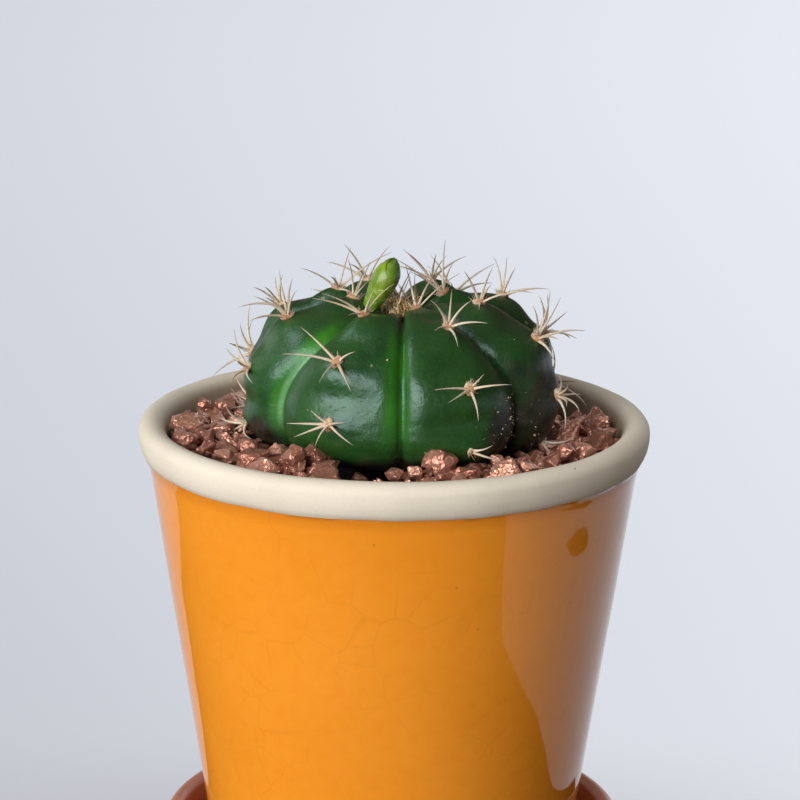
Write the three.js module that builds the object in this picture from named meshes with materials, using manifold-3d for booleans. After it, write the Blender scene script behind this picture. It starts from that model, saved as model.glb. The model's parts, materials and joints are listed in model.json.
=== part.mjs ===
// A small round cactus with a flower bud, in a glazed flowerpot that stands on its saucer.
// Millimetres, +Z up. The origin is on the table under the middle of the pot, and the side that
// is usually looked at faces -Y. Azimuths are degrees from -Y towards +X.

import * as THREE from "three";
import { ConvexGeometry } from "three/addons/geometries/ConvexGeometry.js";
import { mergeVertices } from "three/addons/utils/BufferGeometryUtils.js";
import Module from "manifold-3d";

const wasm = await Module();
wasm.setup();

// ---- Driving dimensions ----

const gap = 0.3; // between pieces that rest in or on each other

const saucer = {
  height: 20,
  floor: 4.5,
  footRadius: 37.5,
  rimRadius: 45.9,
  lipWidth: 3.4,
  wallRadius: 40.6, // inside, where the wall meets the floor's fillet
  sides: 56,
};

const pot = {
  height: 98,
  rimRadius: 50,
  mouthRadius: 44.5,
  rimHeight: 7.1, // of the thick unglazed lip
  neckRadius: 48.1, // just under the lip
  footRadius: 34.4,
  innerFootRadius: 30.2,
  floorTop: 8,
  footRecess: 2,
  drainRadius: 6,
  sides: 56,
};

const stem = {
  centre: [1.5, 0, 3], // from the middle of the pot's mouth
  radius: 31.4, // to the crest of a rib
  rise: 21.6, // from the widest level to the top
  drop: 11.5, // from the widest level to the underside
  upperFullness: 2.8, // 2 is an ellipse, more is boxier
  lowerFullness: 2.1,
  crownDip: 0.26,
  crownDipWidth: 18,
  grooveDepth: 0.14, // as a share of the reach from the centre
  grooveSharpness: 2.8,
  grooveFullAt: 26, // angles from the top: where the grooves have their depth, lose it and end
  grooveFadesAt: 92,
  grooveEndsAt: 126,
  swayFrom: 86, // where a leaning groove starts to lean, and where it has leant in full
  swayFull: 44,
  underside: 140, // the angle from the top at which the stem turns into the root
};

// One entry for each rib: where its crest and the groove after it stand, how far from the top
// its youngest spine cushion sits, and how much wider than usual its cushions are spaced. Sway is
// how far its groove leans sideways near the crown, shallow its share of the usual depth, and
// sharp how fast it falls. The list called seen holds the spines of the cushions in full view,
// youngest first: where each points over the surface (degrees from up the rib, clockwise), how
// steeply it stands off, and its length. The other cushions carry a usual fan.
const ribs = [
  {
    azimuth: -71,
    groove: -54,
    sway: 16,
    shallow: 0.72,
    first: 25,
    spread: 1.0,
    seen: [
      [[145, 50, 9.5], [110, 40, 9], [100, 30, 9.5], [85, 25, 10], [-60, 50, 9]],
      [[155, 20, 9.5], [160, 50, 9], [135, 50, 8.5], [-65, 50, 9.5], [-50, 35, 8.5], [75, 40, 10]],
      [[-80, 25, 7.5], [80, 35, 9], [120, 30, 8], [100, 5, 8.5], [-20, 40, 8]],
      [[-90, 20, 9], [-115, 10, 7], [95, 10, 8], [20, 30, 7]],
    ],
  },
  {
    azimuth: -25,
    groove: 0,
    sharp: 4,
    first: 11,
    spread: 1.0,
    seen: [
      null,
      [[-125, 20, 10.5], [-140, 30, 10], [-170, 10, 5], [95, 45, 9.5], [135, 45, 9]],
      [[-65, 35, 9.5], [-110, 30, 10.5], [175, 30, 9], [140, 10, 9.5], [75, 30, 5]],
      [[-50, 35, 4.5], [-95, 25, 8], [-120, 30, 7], [180, 50, 6.5], [115, 20, 8], [80, 40, 7.5]],
    ],
  },
  {
    azimuth: 24,
    groove: 52,
    sway: -13,
    first: 18,
    spread: 1.08,
    seen: [
      [[-10, 35, 10], [20, 70, 10.5], [85, 50, 9.5], [100, 30, 11.5], [-70, 35, 9]],
      [[-110, 50, 9], [25, 30, 8.5], [165, 55, 9.5], [155, 25, 10], [-125, 10, 5.5], [-165, 5, 10.5]],
      [[-90, 15, 8.5], [-115, 25, 8], [-170, 25, 8], [100, 35, 8], [50, 35, 4]],
      [[100, 25, 6.5], [60, 25, 4.5], [-110, 40, 7], [-130, 60, 7], [170, 65, 7]],
    ],
  },
  {
    azimuth: 68,
    groove: 91,
    first: 9,
    spread: 0.98,
    seen: [
      null,
      [[-110, 5, 10.5], [-80, 50, 9.5], [-135, 55, 10], [-150, 50, 5.5], [-160, 20, 9.5]],
      [[-55, 45, 9.5], [50, 45, 10], [70, 50, 9.5], [145, 40, 9.5], [-140, 5, 8.5], [-125, 35, 9]],
      [[105, 15, 7.5], [-120, 45, 8], [-100, 30, 8], [-135, 15, 8.5], [-65, 35, 9], [-50, 25, 8]],
      [[85, 15, 7], [-70, 20, 8.5], [30, 30, 7]],
    ],
  },
  {
    azimuth: 113,
    groove: 136,
    first: 22,
    spread: 0.95,
    seen: [null, [[85, 45, 9], [110, 45, 9.5], [-75, 45, 9], [-145, 20, 9.5], [-105, 15, 9]]],
  },
  {
    azimuth: 158,
    groove: 181,
    first: 7,
    spread: 0.98,
    seen: [null, [[25, 45, 9], [-30, 45, 9.5], [-45, 40, 10], [-85, 35, 9.5], [35, 25, 9]]],
  },
  {
    azimuth: 203,
    groove: 226,
    first: 12,
    spread: 1.03,
    seen: [null, [[65, 50, 10], [95, 25, 9.5], [45, 25, 9.5], [-20, 45, 10]]],
  },
  {
    azimuth: 249,
    groove: 267,
    first: 32,
    spread: 0.97,
    seen: [
      [[130, 25, 10], [80, 25, 10.5], [-95, 50, 9], [-25, 40, 12.5], [50, 5, 12]],
      [[130, 20, 9], [95, 40, 8.5], [75, 35, 8], [-105, 35, 9], [40, 35, 9]],
    ],
  },
];

// Each cushion sits on a swelling just above the thickest place, with a notch higher up the rib.
// Where those lie from the cushion and how far they reach are angles from the stem's centre.
const tubercle = {
  swell: 1.0,
  swellBelow: 4,
  swellReach: 7,
  notch: 0.7,
  notchAbove: 7,
  notchReach: 4.5,
  halfWidth: 0.5, // as a share of the way from the crest to the groove
  fullAt: 14, // the angle from the top from which they stand out in full
};

const cushion = {
  width: 1.25,
  length: 1.7,
  height: 0.75,
  spacing: 30, // degrees to the next one down the rib, and how they close up further down
  closing: 0.14,
  lowest: 101.5,
};

const spine = { radius: 0.4, sunk: 0.9, clearOfBed: 0.8, clearOfBud: 3.3 };

// How the spines change from the crown, where they are young, to the foot of the stem.
const ageing = {
  youngAt: 12,
  oldAfter: 85,
  youngLift: 62,
  layingBack: 42,
  outermostLower: 12,
  youngestLength: 7,
  youngLength: 10.5,
  shortening: 2.6,
  youngBend: 4,
  curling: 9,
};

const root = {
  neckRadius: 9,
  neckDepth: 13, // below the stem's centre
  length: 38,
  kneeShare: 0.35, // of the length, where the root narrows to a share of its neck
  kneeWidth: 0.6,
  play: 0.5, // between the root and its hole
};

const bud = {
  azimuth: -55,
  fromTop: 21,
  lean: 25, // degrees from upright, towards +X
  sunk: 1.7,
  lipTip: 0.8, // how far the lower scales' tips rise and dip
  // [radius, height] up the side: the lower scales end in a lip, the upper ones close to a point
  outline: [
    [1.4, 0],
    [1.85, 1.5],
    [2.15, 3.3],
    [2.4, 5.2],
    [2.25, 5.5],
    [2.5, 6.9],
    [2.55, 8.2],
    [2.3, 9.5],
    [1.65, 10.8],
    [1.0, 11.7],
    [0.45, 12.2],
  ],
  lip: 3, // the outline's pair at the lip
  height: 12.4,
  sides: 16,
};

const soil = { top: -12, sides: 30 }; // heights from here on are from the top of the pot's lip
const gravel = {
  bedTop: -5.2,
  bedInside: 15,
  slope: 3.2, // the bed's rise towards the front, at the pot's wall
  heap: 2.2, // the bed's extra height at the back on the left
  hollow: { x: -6, halfWidth: 4.6 }, // no chips lie in this gap in front of the stem
  raised: 0.27, // of its size, from the bed to the middle of a chip
  innerRadius: 29.6,
  outerRadius: 41.5,
  chips: 80,
  corners: 7,
  sides: 36,
  smallest: 2.7,
  largest: 4.6,
  tallest: 0.95, // of its size, from the middle of a chip to its top
};

// The chips in full view at the front and on the left: [x, y, height of the middle, size, tallness].
const frontChips = [
  [-32, -15.8, -1.6, 3.2, 0.7],
  [-26.4, -28.7, -1.3, 3.4, 0.8],
  [-22.1, -28.9, -1.8, 1.4, 1.2],
  [-18.7, -31, -0.6, 2.5, 1.4],
  [-12.4, -34.6, -1.8, 3.6, 0.65],
  [0.2, -36.5, -1.9, 2, 0.8],
  [4, -36.1, -1.5, 1.6, 1.2],
  [8.7, -30.6, -0.8, 3.4, 1.1],
  [8.8, -38.3, -1.8, 1.4, 0.8],
  [14, -35.8, -1.9, 2.2, 0.8],
  [17.4, -32.4, -1.9, 2.4, 0.85],
  [19.6, -25.8, -2.2, 1.6, 1.1],
  [22.1, -28.9, -1.6, 1.7, 1.2],
  [24.8, -32.6, -1.4, 2, 0.8],
  [28.1, -20.8, -1.6, 3.4, 0.65],
  [29.5, -27.3, -1.7, 2.5, 0.65],
  [32.6, -21.4, -1.6, 2.2, 1],
  [36.4, -20.6, -1.6, 2, 1],
  [38.6, -12.6, -1.4, 3.7, 0.65],
  [34.6, -2.4, -2.4, 2.6, 1],
  [40.6, 3.8, -2.2, 2.3, 0.9],
  [-37.9, 13.5, -1.8, 1.4, 1.4],
  [-35.1, 7.3, -2, 2, 1.3],
  [-32.2, 19.2, -2.2, 2.6, 1.1],
  [-31.2, 7.4, -2.2, 1.9, 0.7],
  [-38.8, 3.7, -2.5, 2.4, 0.75],
  [-37.5, -5.7, -2, 2.8, 0.65],
  [-39.6, -12, -1.9, 2.3, 1],
  [-36.1, -9.3, -2.2, 1.7, 0.9],
  [-31.9, -4, -2.6, 3, 0.65],
  [-35.8, -19.4, -1.8, 2.2, 0.8],
  [-31.9, -25.5, -1.6, 2.6, 0.7],
];

// ---- Shared helpers ----

const goldenAngle = 137.508;
const radians = THREE.MathUtils.degToRad;
const clamp01 = (x) => Math.min(1, Math.max(0, x));
const smooth = (x) => clamp01(x) ** 2 * (3 - 2 * clamp01(x));

// A repeatable draw between 0 and 1 for a pair of whole numbers.
function draw(item, choice) {
  const wave = Math.sin(item * 12.9898 + choice * 78.233 + 4.137) * 43758.5453;
  return wave - Math.floor(wave);
}

function toSolid(geometry) {
  const bare = geometry.clone();
  bare.deleteAttribute("normal");
  bare.deleteAttribute("uv");
  const merged = mergeVertices(bare, 1e-4);
  return new wasm.Manifold(
    new wasm.Mesh({
      numProp: 3,
      vertProperties: merged.getAttribute("position").array,
      triVerts: new Uint32Array(merged.index.array),
    }),
  );
}

function toGeometry(solid) {
  const made = solid.getMesh();
  const geometry = new THREE.BufferGeometry();
  geometry.setAttribute("position", new THREE.BufferAttribute(made.vertProperties, 3));
  geometry.setIndex(new THREE.BufferAttribute(made.triVerts, 1));
  geometry.computeVertexNormals();
  return geometry;
}

// A turned body about Z from [radius, height] pairs, listed anticlockwise in the (radius, height) plane.
function turned(outline, sides) {
  const points = outline.map(([r, z]) => new THREE.Vector2(r, z));
  return new THREE.LatheGeometry(points, sides).rotateX(Math.PI / 2);
}

// Points on a stretch of an ellipse in the (radius, height) plane, angles in degrees.
function ellipseArc(r, z, halfWidth, halfHeight, from, to, steps) {
  return Array.from({ length: steps + 1 }, (_, i) => {
    const angle = radians(from + ((to - from) * i) / steps);
    return [r + halfWidth * Math.cos(angle), z + halfHeight * Math.sin(angle)];
  });
}

const rimTop = saucer.floor + pot.height;

// The level of the gravel's bed, which rises a little towards the front.
function bedLevel(x, y) {
  const heap = gravel.heap * smooth((-x - 20) / 12) * smooth((y + 14) / 18);
  return rimTop + gravel.bedTop - (gravel.slope * y) / gravel.outerRadius + heap;
}

// ---- Saucer ----

function saucerGeometry() {
  const lip = saucer.lipWidth / 2;
  const lipCentre = saucer.rimRadius - lip;
  const outline = [
    [0, 1],
    [saucer.footRadius - 6, 1],
    [saucer.footRadius - 5, 0],
    [saucer.footRadius, 0],
    [saucer.footRadius + 1.4, 0.7],
    [saucer.rimRadius - 3.3, 5],
    [saucer.rimRadius - 1.5, 11],
    ...ellipseArc(lipCentre, saucer.height - 2, lip, 2, 0, 180, 4),
    [saucer.wallRadius, 7.5],
    [saucer.wallRadius - 1.2, saucer.floor + 0.8],
    [saucer.wallRadius - 3.2, saucer.floor],
    [0, saucer.floor],
    [0, 1],
  ];
  return turned(outline, saucer.sides);
}

// ---- Pot ----

// The inside wall's radius at a height below the top of the lip.
function potInside(below) {
  const lip = -3;
  const share = clamp01((below - lip) / (pot.floorTop - pot.height - lip));
  return pot.mouthRadius + (pot.innerFootRadius - pot.mouthRadius) * share;
}

function potGeometry() {
  const middle = (pot.rimRadius + pot.mouthRadius) / 2;
  const half = (pot.rimRadius - pot.mouthRadius) / 2;
  const lipEdge = pot.neckRadius + 0.3;
  const outline = [
    [pot.drainRadius, pot.footRecess - pot.height],
    [pot.footRadius - 8, pot.footRecess - pot.height],
    [pot.footRadius - 7, -pot.height],
    [pot.footRadius - 1.3, -pot.height],
    [pot.footRadius + 0.2, 1.4 - pot.height],
    [pot.neckRadius, -pot.rimHeight - 1.2],
    ...ellipseArc(lipEdge, -1.4, pot.rimRadius - lipEdge, pot.rimHeight - 1.4, -90, 0, 3),
    ...ellipseArc(middle, -1.4, half, 1.4, 30, 90, 2),
    ...ellipseArc(middle, -3, half, 3, 120, 180, 2),
    [pot.innerFootRadius + 0.6, pot.floorTop + 4 - pot.height],
    [pot.innerFootRadius - 2.8, pot.floorTop - pot.height],
    [pot.drainRadius, pot.floorTop - pot.height],
    [pot.drainRadius, pot.footRecess - pot.height],
  ];
  return turned(outline, pot.sides).translate(0, 0, rimTop);
}

// ---- Stem ----

const stemCentre = new THREE.Vector3(...stem.centre).add(new THREE.Vector3(0, 0, rimTop));

const nextCushion = (rib, angle) => angle + rib.spread * (cushion.spacing - cushion.closing * angle);

// The angles from the top at which a rib carries its spine cushions.
function cushionAngles(rib) {
  const angles = [];
  for (let angle = rib.first; angle <= cushion.lowest; angle = nextCushion(rib, angle)) {
    angles.push(angle);
  }
  return angles;
}

const turnTo = (from, to) => ((((to - from) % 360) + 360) % 360);

// The azimuth of the groove after a rib, at an angle from the top.
function grooveAt(rib, angle) {
  const leant = smooth((stem.swayFrom - angle) / (stem.swayFrom - stem.swayFull));
  return rib.groove + (rib.sway || 0) * leant;
}

// The azimuth part of the way from a rib's crest to the next one: 1.5 is the groove after rib 1.
function azimuthAt(place, angle) {
  const here = Math.floor(place);
  const share = place - here;
  const [rib, next] = [ribs[here], ribs[(here + 1) % ribs.length]];
  const groove = grooveAt(rib, angle);
  const [toGroove, toNext] = [turnTo(rib.azimuth, groove), turnTo(groove, next.azimuth)];
  return rib.azimuth + 2 * (Math.min(share, 0.5) * toGroove + Math.max(share - 0.5, 0) * toNext);
}

// The rib that an azimuth falls on at an angle from the top, how far out from its crest (0 there,
// 1 in the groove), and the rib that the nearer groove belongs to.
function ribAt(azimuth, angle) {
  const grooves = ribs.map((rib) => grooveAt(rib, angle));
  const place = ribs.findIndex((_, i) => {
    const start = grooves[(i + ribs.length - 1) % ribs.length];
    return turnTo(start, azimuth) < turnTo(start, grooves[i]);
  });
  const rib = ribs[place];
  const last = (place + ribs.length - 1) % ribs.length;
  const past = turnTo(grooves[last], azimuth);
  const crest = turnTo(grooves[last], rib.azimuth);
  if (past < crest) return { rib, out: 1 - past / crest, grooved: ribs[last] };
  return { rib, out: (past - crest) / turnTo(rib.azimuth, grooves[place]), grooved: rib };
}

// How far a rib's crest is from the stem's centre, at an angle from the top.
function crestReach(angle) {
  const up = angle < 90;
  const fullness = up ? stem.upperFullness : stem.lowerFullness;
  const across = Math.abs(Math.sin(radians(angle))) / stem.radius;
  const along = Math.abs(Math.cos(radians(angle))) / (up ? stem.rise : stem.drop);
  const dip = 1 - stem.crownDip * Math.exp(-((angle / stem.crownDipWidth) ** 2));
  return dip * (across ** fullness + along ** fullness) ** (-1 / fullness);
}

// The same for any azimuth, with the grooves and the tubercles.
function stemReach(azimuth, angle) {
  const { rib, out, grooved } = ribAt(azimuth, angle);
  const fading = smooth((angle - stem.grooveFadesAt) / (stem.grooveEndsAt - stem.grooveFadesAt));
  const depth = stem.grooveDepth * smooth(angle / stem.grooveFullAt) * (1 - fading) * (grooved.shallow || 1);
  let relief = 0;
  for (const at of cushionAngles(rib)) {
    const fromSwell = (angle - at - tubercle.swellBelow) / tubercle.swellReach;
    const fromNotch = (angle - at + tubercle.notchAbove) / tubercle.notchReach;
    relief += tubercle.swell * Math.exp(-(fromSwell ** 2)) - tubercle.notch * Math.exp(-(fromNotch ** 2));
  }
  relief *= Math.exp(-((out / tubercle.halfWidth) ** 2)) * smooth(angle / tubercle.fullAt);
  return crestReach(angle) * (1 - depth * out ** (grooved.sharp || stem.grooveSharpness)) + relief;
}

function stemPoint(azimuth, angle, proud = 0) {
  const [a, b] = [radians(azimuth), radians(angle)];
  const away = new THREE.Vector3(Math.sin(b) * Math.sin(a), -Math.sin(b) * Math.cos(a), Math.cos(b));
  return away.multiplyScalar(stemReach(azimuth, angle) + proud).add(stemCentre);
}

// The stem with its root, in rings from the root's tip up to the middle of the crown.
function stemGeometry(proud = 0) {
  const perRib = 8;
  const bodyRings = 22;
  const rootRings = [
    [0, root.neckDepth + root.length],
    [root.neckRadius * root.kneeWidth, root.neckDepth + root.length * root.kneeShare],
    [root.neckRadius, root.neckDepth],
  ];
  const rings = rootRings.length + bodyRings;
  const rough = Array.from({ length: rings }, (_, ring) => {
    return new THREE.Vector2(Math.sin((Math.PI * ring) / (rings - 1)), ring);
  });
  const geometry = new THREE.LatheGeometry(rough, ribs.length * perRib);
  const position = geometry.getAttribute("position");
  for (let i = 0; i < position.count; i++) {
    const ring = i % rings;
    const side = Math.floor(i / rings);
    const angle = stem.underside * Math.min(1, (rings - 1 - ring) / (bodyRings - 1));
    const azimuth = azimuthAt((side / perRib) % ribs.length, angle);
    const along = radians(azimuth);
    let point;
    if (ring < rootRings.length) {
      const [radius, depth] = rootRings[ring];
      const reach = radius && radius + proud;
      point = new THREE.Vector3(reach * Math.sin(along), -reach * Math.cos(along), -depth).add(stemCentre);
    } else {
      point = stemPoint(azimuth, angle, proud);
    }
    position.setXYZ(i, point.x, point.y, point.z);
  }
  return geometry;
}

// The place of a spine cushion: its middle, and the directions up the rib, to its right and outwards.
function cushionFrame(azimuth, angle) {
  const step = 1.5;
  const at = stemPoint(azimuth, angle);
  const up = stemPoint(azimuth, angle - step).sub(stemPoint(azimuth, angle + step)).normalize();
  const right = new THREE.Vector3(Math.cos(radians(azimuth)), Math.sin(radians(azimuth)), 0);
  const out = new THREE.Vector3().crossVectors(up, right).negate().normalize();
  return { at, up, right, out };
}

function cushionGeometry({ at, up, right, out }) {
  const place = new THREE.Matrix4().makeBasis(right, up, out).setPosition(at);
  const size = new THREE.Matrix4().makeScale(cushion.width, cushion.length, cushion.height);
  return new THREE.IcosahedronGeometry(1, 0).applyMatrix4(size).applyMatrix4(place);
}

// ---- Spines ----

// The knee and tip of a spine that leaves its cushion at one slope and bends to another.
function spineLine({ at, up, right, out }, [clock, lift, length], bend) {
  const heading = (slope) =>
    new THREE.Vector3()
      .addScaledVector(up, Math.cos(radians(clock)) * Math.cos(radians(slope)))
      .addScaledVector(right, Math.sin(radians(clock)) * Math.cos(radians(slope)))
      .addScaledVector(out, Math.sin(radians(slope)));
  const foot = at.clone().addScaledVector(out, -spine.sunk);
  const knee = at.clone().addScaledVector(heading(lift + bend), length / 2);
  const tip = knee.clone().addScaledVector(heading(lift - bend), length / 2);
  return { foot, knee, tip };
}

// A tapered needle with three sides.
function spineGeometry({ foot, knee, tip }, out, proud = 0) {
  const stations = [tip, knee, foot];
  const geometry = new THREE.CylinderGeometry(proud, spine.radius + 2 * proud, 1, 3, 2);
  const position = geometry.getAttribute("position");
  const along = tip.clone().sub(foot).normalize();
  const sideways = new THREE.Vector3().crossVectors(along, out).normalize();
  const across = new THREE.Vector3().crossVectors(sideways, along).normalize();
  for (let i = 0; i < position.count; i++) {
    const middle = stations[Math.round((0.5 - position.getY(i)) * 2)].clone();
    middle.addScaledVector(sideways, position.getX(i)).addScaledVector(across, position.getZ(i));
    position.setXYZ(i, middle.x, middle.y, middle.z);
  }
  return geometry;
}

// A usual fan: young cushions near the crown hold their spines up, old ones lay them back.
function usualFan(item, age) {
  const clocks = [-24, 32, -74, 82, -128, 142];
  const kept = draw(item, 0) < 0.35 ? clocks.slice(1) : clocks;
  return kept.map((clock, i) => {
    const turnedTo = clock + 26 * (draw(item, 2 * i + 1) - 0.5);
    const lower = Math.abs(clock) > 100 ? ageing.outermostLower * (1 - age) : 0;
    const lift = ageing.youngLift - ageing.layingBack * age - lower;
    const usual = age ? ageing.youngLength - ageing.shortening * age : ageing.youngestLength;
    return [turnedTo, lift, usual * (0.8 + 0.4 * draw(item, 2 * i + 2))];
  });
}

// Spines that would run into the flower bud or down into the gravel's bed haven't grown.
function isClear({ knee, tip }) {
  const { seat, heading } = budAxis();
  const budLine = new THREE.Line3(seat, seat.clone().addScaledVector(heading, bud.height));
  const nearBud = [0.25, 0.5, 0.75, 1].some((share) => {
    const at = knee.clone().lerp(tip, share * 2 - 1);
    return budLine.closestPointToPoint(at, true, new THREE.Vector3()).distanceTo(at) < spine.clearOfBud;
  });
  const nearBed = [knee, tip].some(({ x, y, z }) => z < bedLevel(x, y) + spine.clearOfBed);
  return !nearBud && !nearBed;
}

// Every cushion with its place and the lines of its spines.
const cushions = ribs.flatMap((rib, ribNumber) =>
  cushionAngles(rib).map((angle, i) => {
    const frame = cushionFrame(rib.azimuth, angle);
    const age = clamp01((angle - ageing.youngAt) / ageing.oldAfter);
    const bend = ageing.youngBend + ageing.curling * age;
    const fan = rib.seen[i] || usualFan(ribNumber * 10 + i, age);
    const lines = fan.map((growth) => spineLine(frame, growth, bend)).filter(isClear);
    return { frame, lines };
  }),
);

function cactusGeometry() {
  const pieces = cushions.flatMap(({ frame, lines }) => [
    cushionGeometry(frame),
    ...lines.map((line) => spineGeometry(line, frame.out)),
  ]);
  return toGeometry(wasm.Manifold.union([stemGeometry(), ...pieces].map(toSolid)));
}

// ---- Flower bud ----

function budAxis() {
  const lean = radians(bud.lean);
  const heading = new THREE.Vector3(Math.sin(lean), 0, Math.cos(lean));
  return { seat: stemPoint(bud.azimuth, bud.fromTop).addScaledVector(heading, -bud.sunk), heading };
}

function budGeometry() {
  const geometry = turned([[0, 0], ...bud.outline, [0, bud.height]], bud.sides);
  const position = geometry.getAttribute("position");
  const rings = bud.outline.length + 2;
  for (let i = 0; i < position.count; i++) {
    const ring = i % rings;
    const wave = Math.cos((6 * Math.PI * Math.floor(i / rings)) / bud.sides);
    if (ring === bud.lip + 1 || ring === bud.lip + 2) {
      position.setZ(i, position.getZ(i) + bud.lipTip * wave);
    }
  }
  const { seat } = budAxis();
  geometry.rotateY(radians(bud.lean)).translate(seat.x, seat.y, seat.z);
  return toGeometry(toSolid(geometry).subtract(toSolid(stemGeometry(gap))));
}

// ---- Soil ----

function soilGeometry() {
  const z = (height) => height + rimTop;
  const kneeHeight = stem.centre[2] - root.neckDepth - root.length * root.kneeShare;
  const tipHeight = stem.centre[2] - root.neckDepth - root.length;
  const wall = potInside(soil.top) - gap;
  const bottom = pot.floorTop - pot.height + gap;
  const outline = [
    [0, z(bottom)],
    [pot.innerFootRadius - 3.2, z(bottom)],
    [pot.innerFootRadius + 0.2, z(bottom + 4.2)],
    [wall, z(soil.top)],
    [root.neckRadius + root.play, z(soil.top)],
    [root.neckRadius * root.kneeWidth + root.play, z(kneeHeight)],
    [0, z(tipHeight - 1)],
    [0, z(bottom)],
  ];
  const hole = new Set([4, 5, 6]);
  const geometry = turned(outline, soil.sides);
  const position = geometry.getAttribute("position");
  for (let i = 0; i < position.count; i++) {
    if (hole.has(i % outline.length)) position.setX(i, position.getX(i) + stem.centre[0]);
  }
  return geometry;
}

// ---- Gravel ----

// Angular chips of crushed stone: the hull of a few points drawn round a flattened ball.
function chipGeometry({ size, tallness }, item) {
  const corners = Array.from({ length: gravel.corners }, (_, i) => {
    const height = 1 - (2 * i + 1) / gravel.corners;
    const around = radians(goldenAngle * i + 360 * draw(item, 3));
    const level = Math.sqrt(1 - height ** 2);
    const reach = size * (0.8 + 0.4 * draw(item, 10 + i));
    return new THREE.Vector3(
      reach * (1.0 + 0.45 * draw(item, 4)) * level * Math.cos(around),
      reach * (0.75 + 0.35 * draw(item, 5)) * level * Math.sin(around),
      reach * tallness * height,
    );
  });
  return new ConvexGeometry(corners)
    .rotateX(1.1 * (draw(item, 7) - 0.5))
    .rotateY(1.1 * (draw(item, 8) - 0.5))
    .rotateZ(radians(360 * draw(item, 9)));
}

// A chip in full view that lies above the bed rests on another one under it.
// The rest lie in a sunflower spiral over the ring between the stem and the pot, where there
// is room between the front ones, and under the spines that reach out over them.
function chipPlaces() {
  const spinePoints = cushions.flatMap(({ frame, lines }) => [
    frame.at,
    ...lines.flatMap(({ knee, tip }) => [knee, tip, knee.clone().lerp(tip, 0.5)]),
  ]);
  const inFront = frontChips.flatMap(([x, y, height, size, tallness]) => {
    const chip = { x, y, z: rimTop + height, size, tallness };
    const clear = chip.z - bedLevel(x, y);
    if (clear < 0.5 * size * tallness) return [chip];
    return [chip, { ...chip, z: chip.z - clear / 2, size: 1.1 * size, tallness: (0.6 * clear) / size }];
  });
  const spread = Array.from({ length: gravel.chips }, (_, i) => {
    const share = (i + 0.5) / gravel.chips;
    const radius = Math.sqrt(gravel.innerRadius ** 2 * (1 - share) + gravel.outerRadius ** 2 * share);
    const azimuth = radians(goldenAngle * i);
    const size = gravel.smallest + (gravel.largest - gravel.smallest) * draw(i, 1) ** 1.5;
    const x = radius * Math.sin(azimuth) + stem.centre[0] * (1 - share);
    const y = -radius * Math.cos(azimuth);
    return { x, y, z: bedLevel(x, y) + gravel.raised * size, size, tallness: 0.6 + 0.3 * draw(i, 6) };
  });
  const apart = (chip, other) => Math.hypot(chip.x - other.x, chip.y - other.y);
  const inHollow = ({ x, y }) => y < 0 && Math.abs(x - gravel.hollow.x) < gravel.hollow.halfWidth;
  const roomy = spread.filter((chip) => {
    return !inHollow(chip) && inFront.every((other) => apart(chip, other) > 0.6 * (chip.size + other.size));
  });
  return [...inFront, ...roomy]
    .map((chip) => {
      const over = spinePoints.filter((point) => apart(chip, point) < 1.3 * chip.size + 1);
      const ceiling = Math.min(...over.map(({ z }) => z)) - 2 * gap;
      return { ...chip, z: Math.min(chip.z, ceiling - gravel.tallest * chip.size) };
    })
    .filter((chip) => chip.z > bedLevel(chip.x, chip.y) - 0.6 * chip.size);
}

function gravelGeometry() {
  const bottom = rimTop + soil.top + gap;
  const wallAt = (height) => potInside(height) - gap;
  const bed = turned(
    [
      [gravel.bedInside, bottom],
      [wallAt(soil.top), bottom],
      [wallAt(gravel.bedTop), rimTop + gravel.bedTop],
      [gravel.bedInside, rimTop + gravel.bedTop],
      [gravel.bedInside, bottom],
    ],
    gravel.sides,
  );
  const position = bed.getAttribute("position");
  for (let i = 0; i < position.count; i++) {
    const [x, y, z] = [position.getX(i), position.getY(i), position.getZ(i)];
    if (z > bottom + 1) position.setZ(i, bedLevel(x, y));
  }
  const underStem = [140, 130, 120, 110, 100].map((angle) => [
    Math.sin(radians(angle)) * (crestReach(angle) + tubercle.swell + cushion.height + gap),
    Math.cos(radians(angle)) * crestReach(angle) + stemCentre.z,
  ]);
  const widest = underStem[underStem.length - 1][0];
  const stemHole = turned(
    [
      [0, bottom - 1],
      [underStem[0][0], bottom - 1],
      ...underStem,
      [widest + 1, rimTop + 6],
      [0, rimTop + 6],
      [0, bottom - 1],
    ],
    gravel.sides,
  ).translate(stem.centre[0], stem.centre[1], 0);
  const mouth = turned(
    [
      [0, bottom],
      [wallAt(soil.top), bottom],
      [wallAt(-3), rimTop - 3],
      [wallAt(-3), rimTop + 6],
      [0, rimTop + 6],
      [0, bottom],
    ],
    gravel.sides,
  );
  const chips = chipPlaces().map((chip, item) => chipGeometry(chip, item).translate(chip.x, chip.y, chip.z));
  const lowSpines = cushions.flatMap(({ frame, lines }) => {
    const low = lines.filter(({ tip }) => tip.z < rimTop + 6);
    return low.map((line) => spineGeometry(line, frame.out, gap));
  });
  const heap = wasm.Manifold.union([bed, ...chips].map(toSolid));
  const notches = wasm.Manifold.union([stemHole, stemGeometry(gap), ...lowSpines].map(toSolid));
  const cut = heap.intersect(toSolid(mouth)).subtract(notches);
  // What the notches cut loose is left out.
  const [whole] = cut.decompose().sort((one, other) => other.volume() - one.volume());
  return toGeometry(whole);
}

// ---- Assembly ----

const finishes = {
  terracotta: { color: 0x8a4a32, roughness: 0.45, metalness: 0 },
  glaze: { color: 0xf09a2c, roughness: 0.15, metalness: 0 },
  earth: { color: 0x2b1f17, roughness: 0.95, metalness: 0 },
  copperChip: { color: 0x8f5a48, roughness: 0.35, metalness: 0.6 },
  cactusSkin: { color: 0x1f4a26, roughness: 0.35, metalness: 0 },
  budGreen: { color: 0x7da82e, roughness: 0.35, metalness: 0 },
};

const cactusInPot = new THREE.Group();

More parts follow.
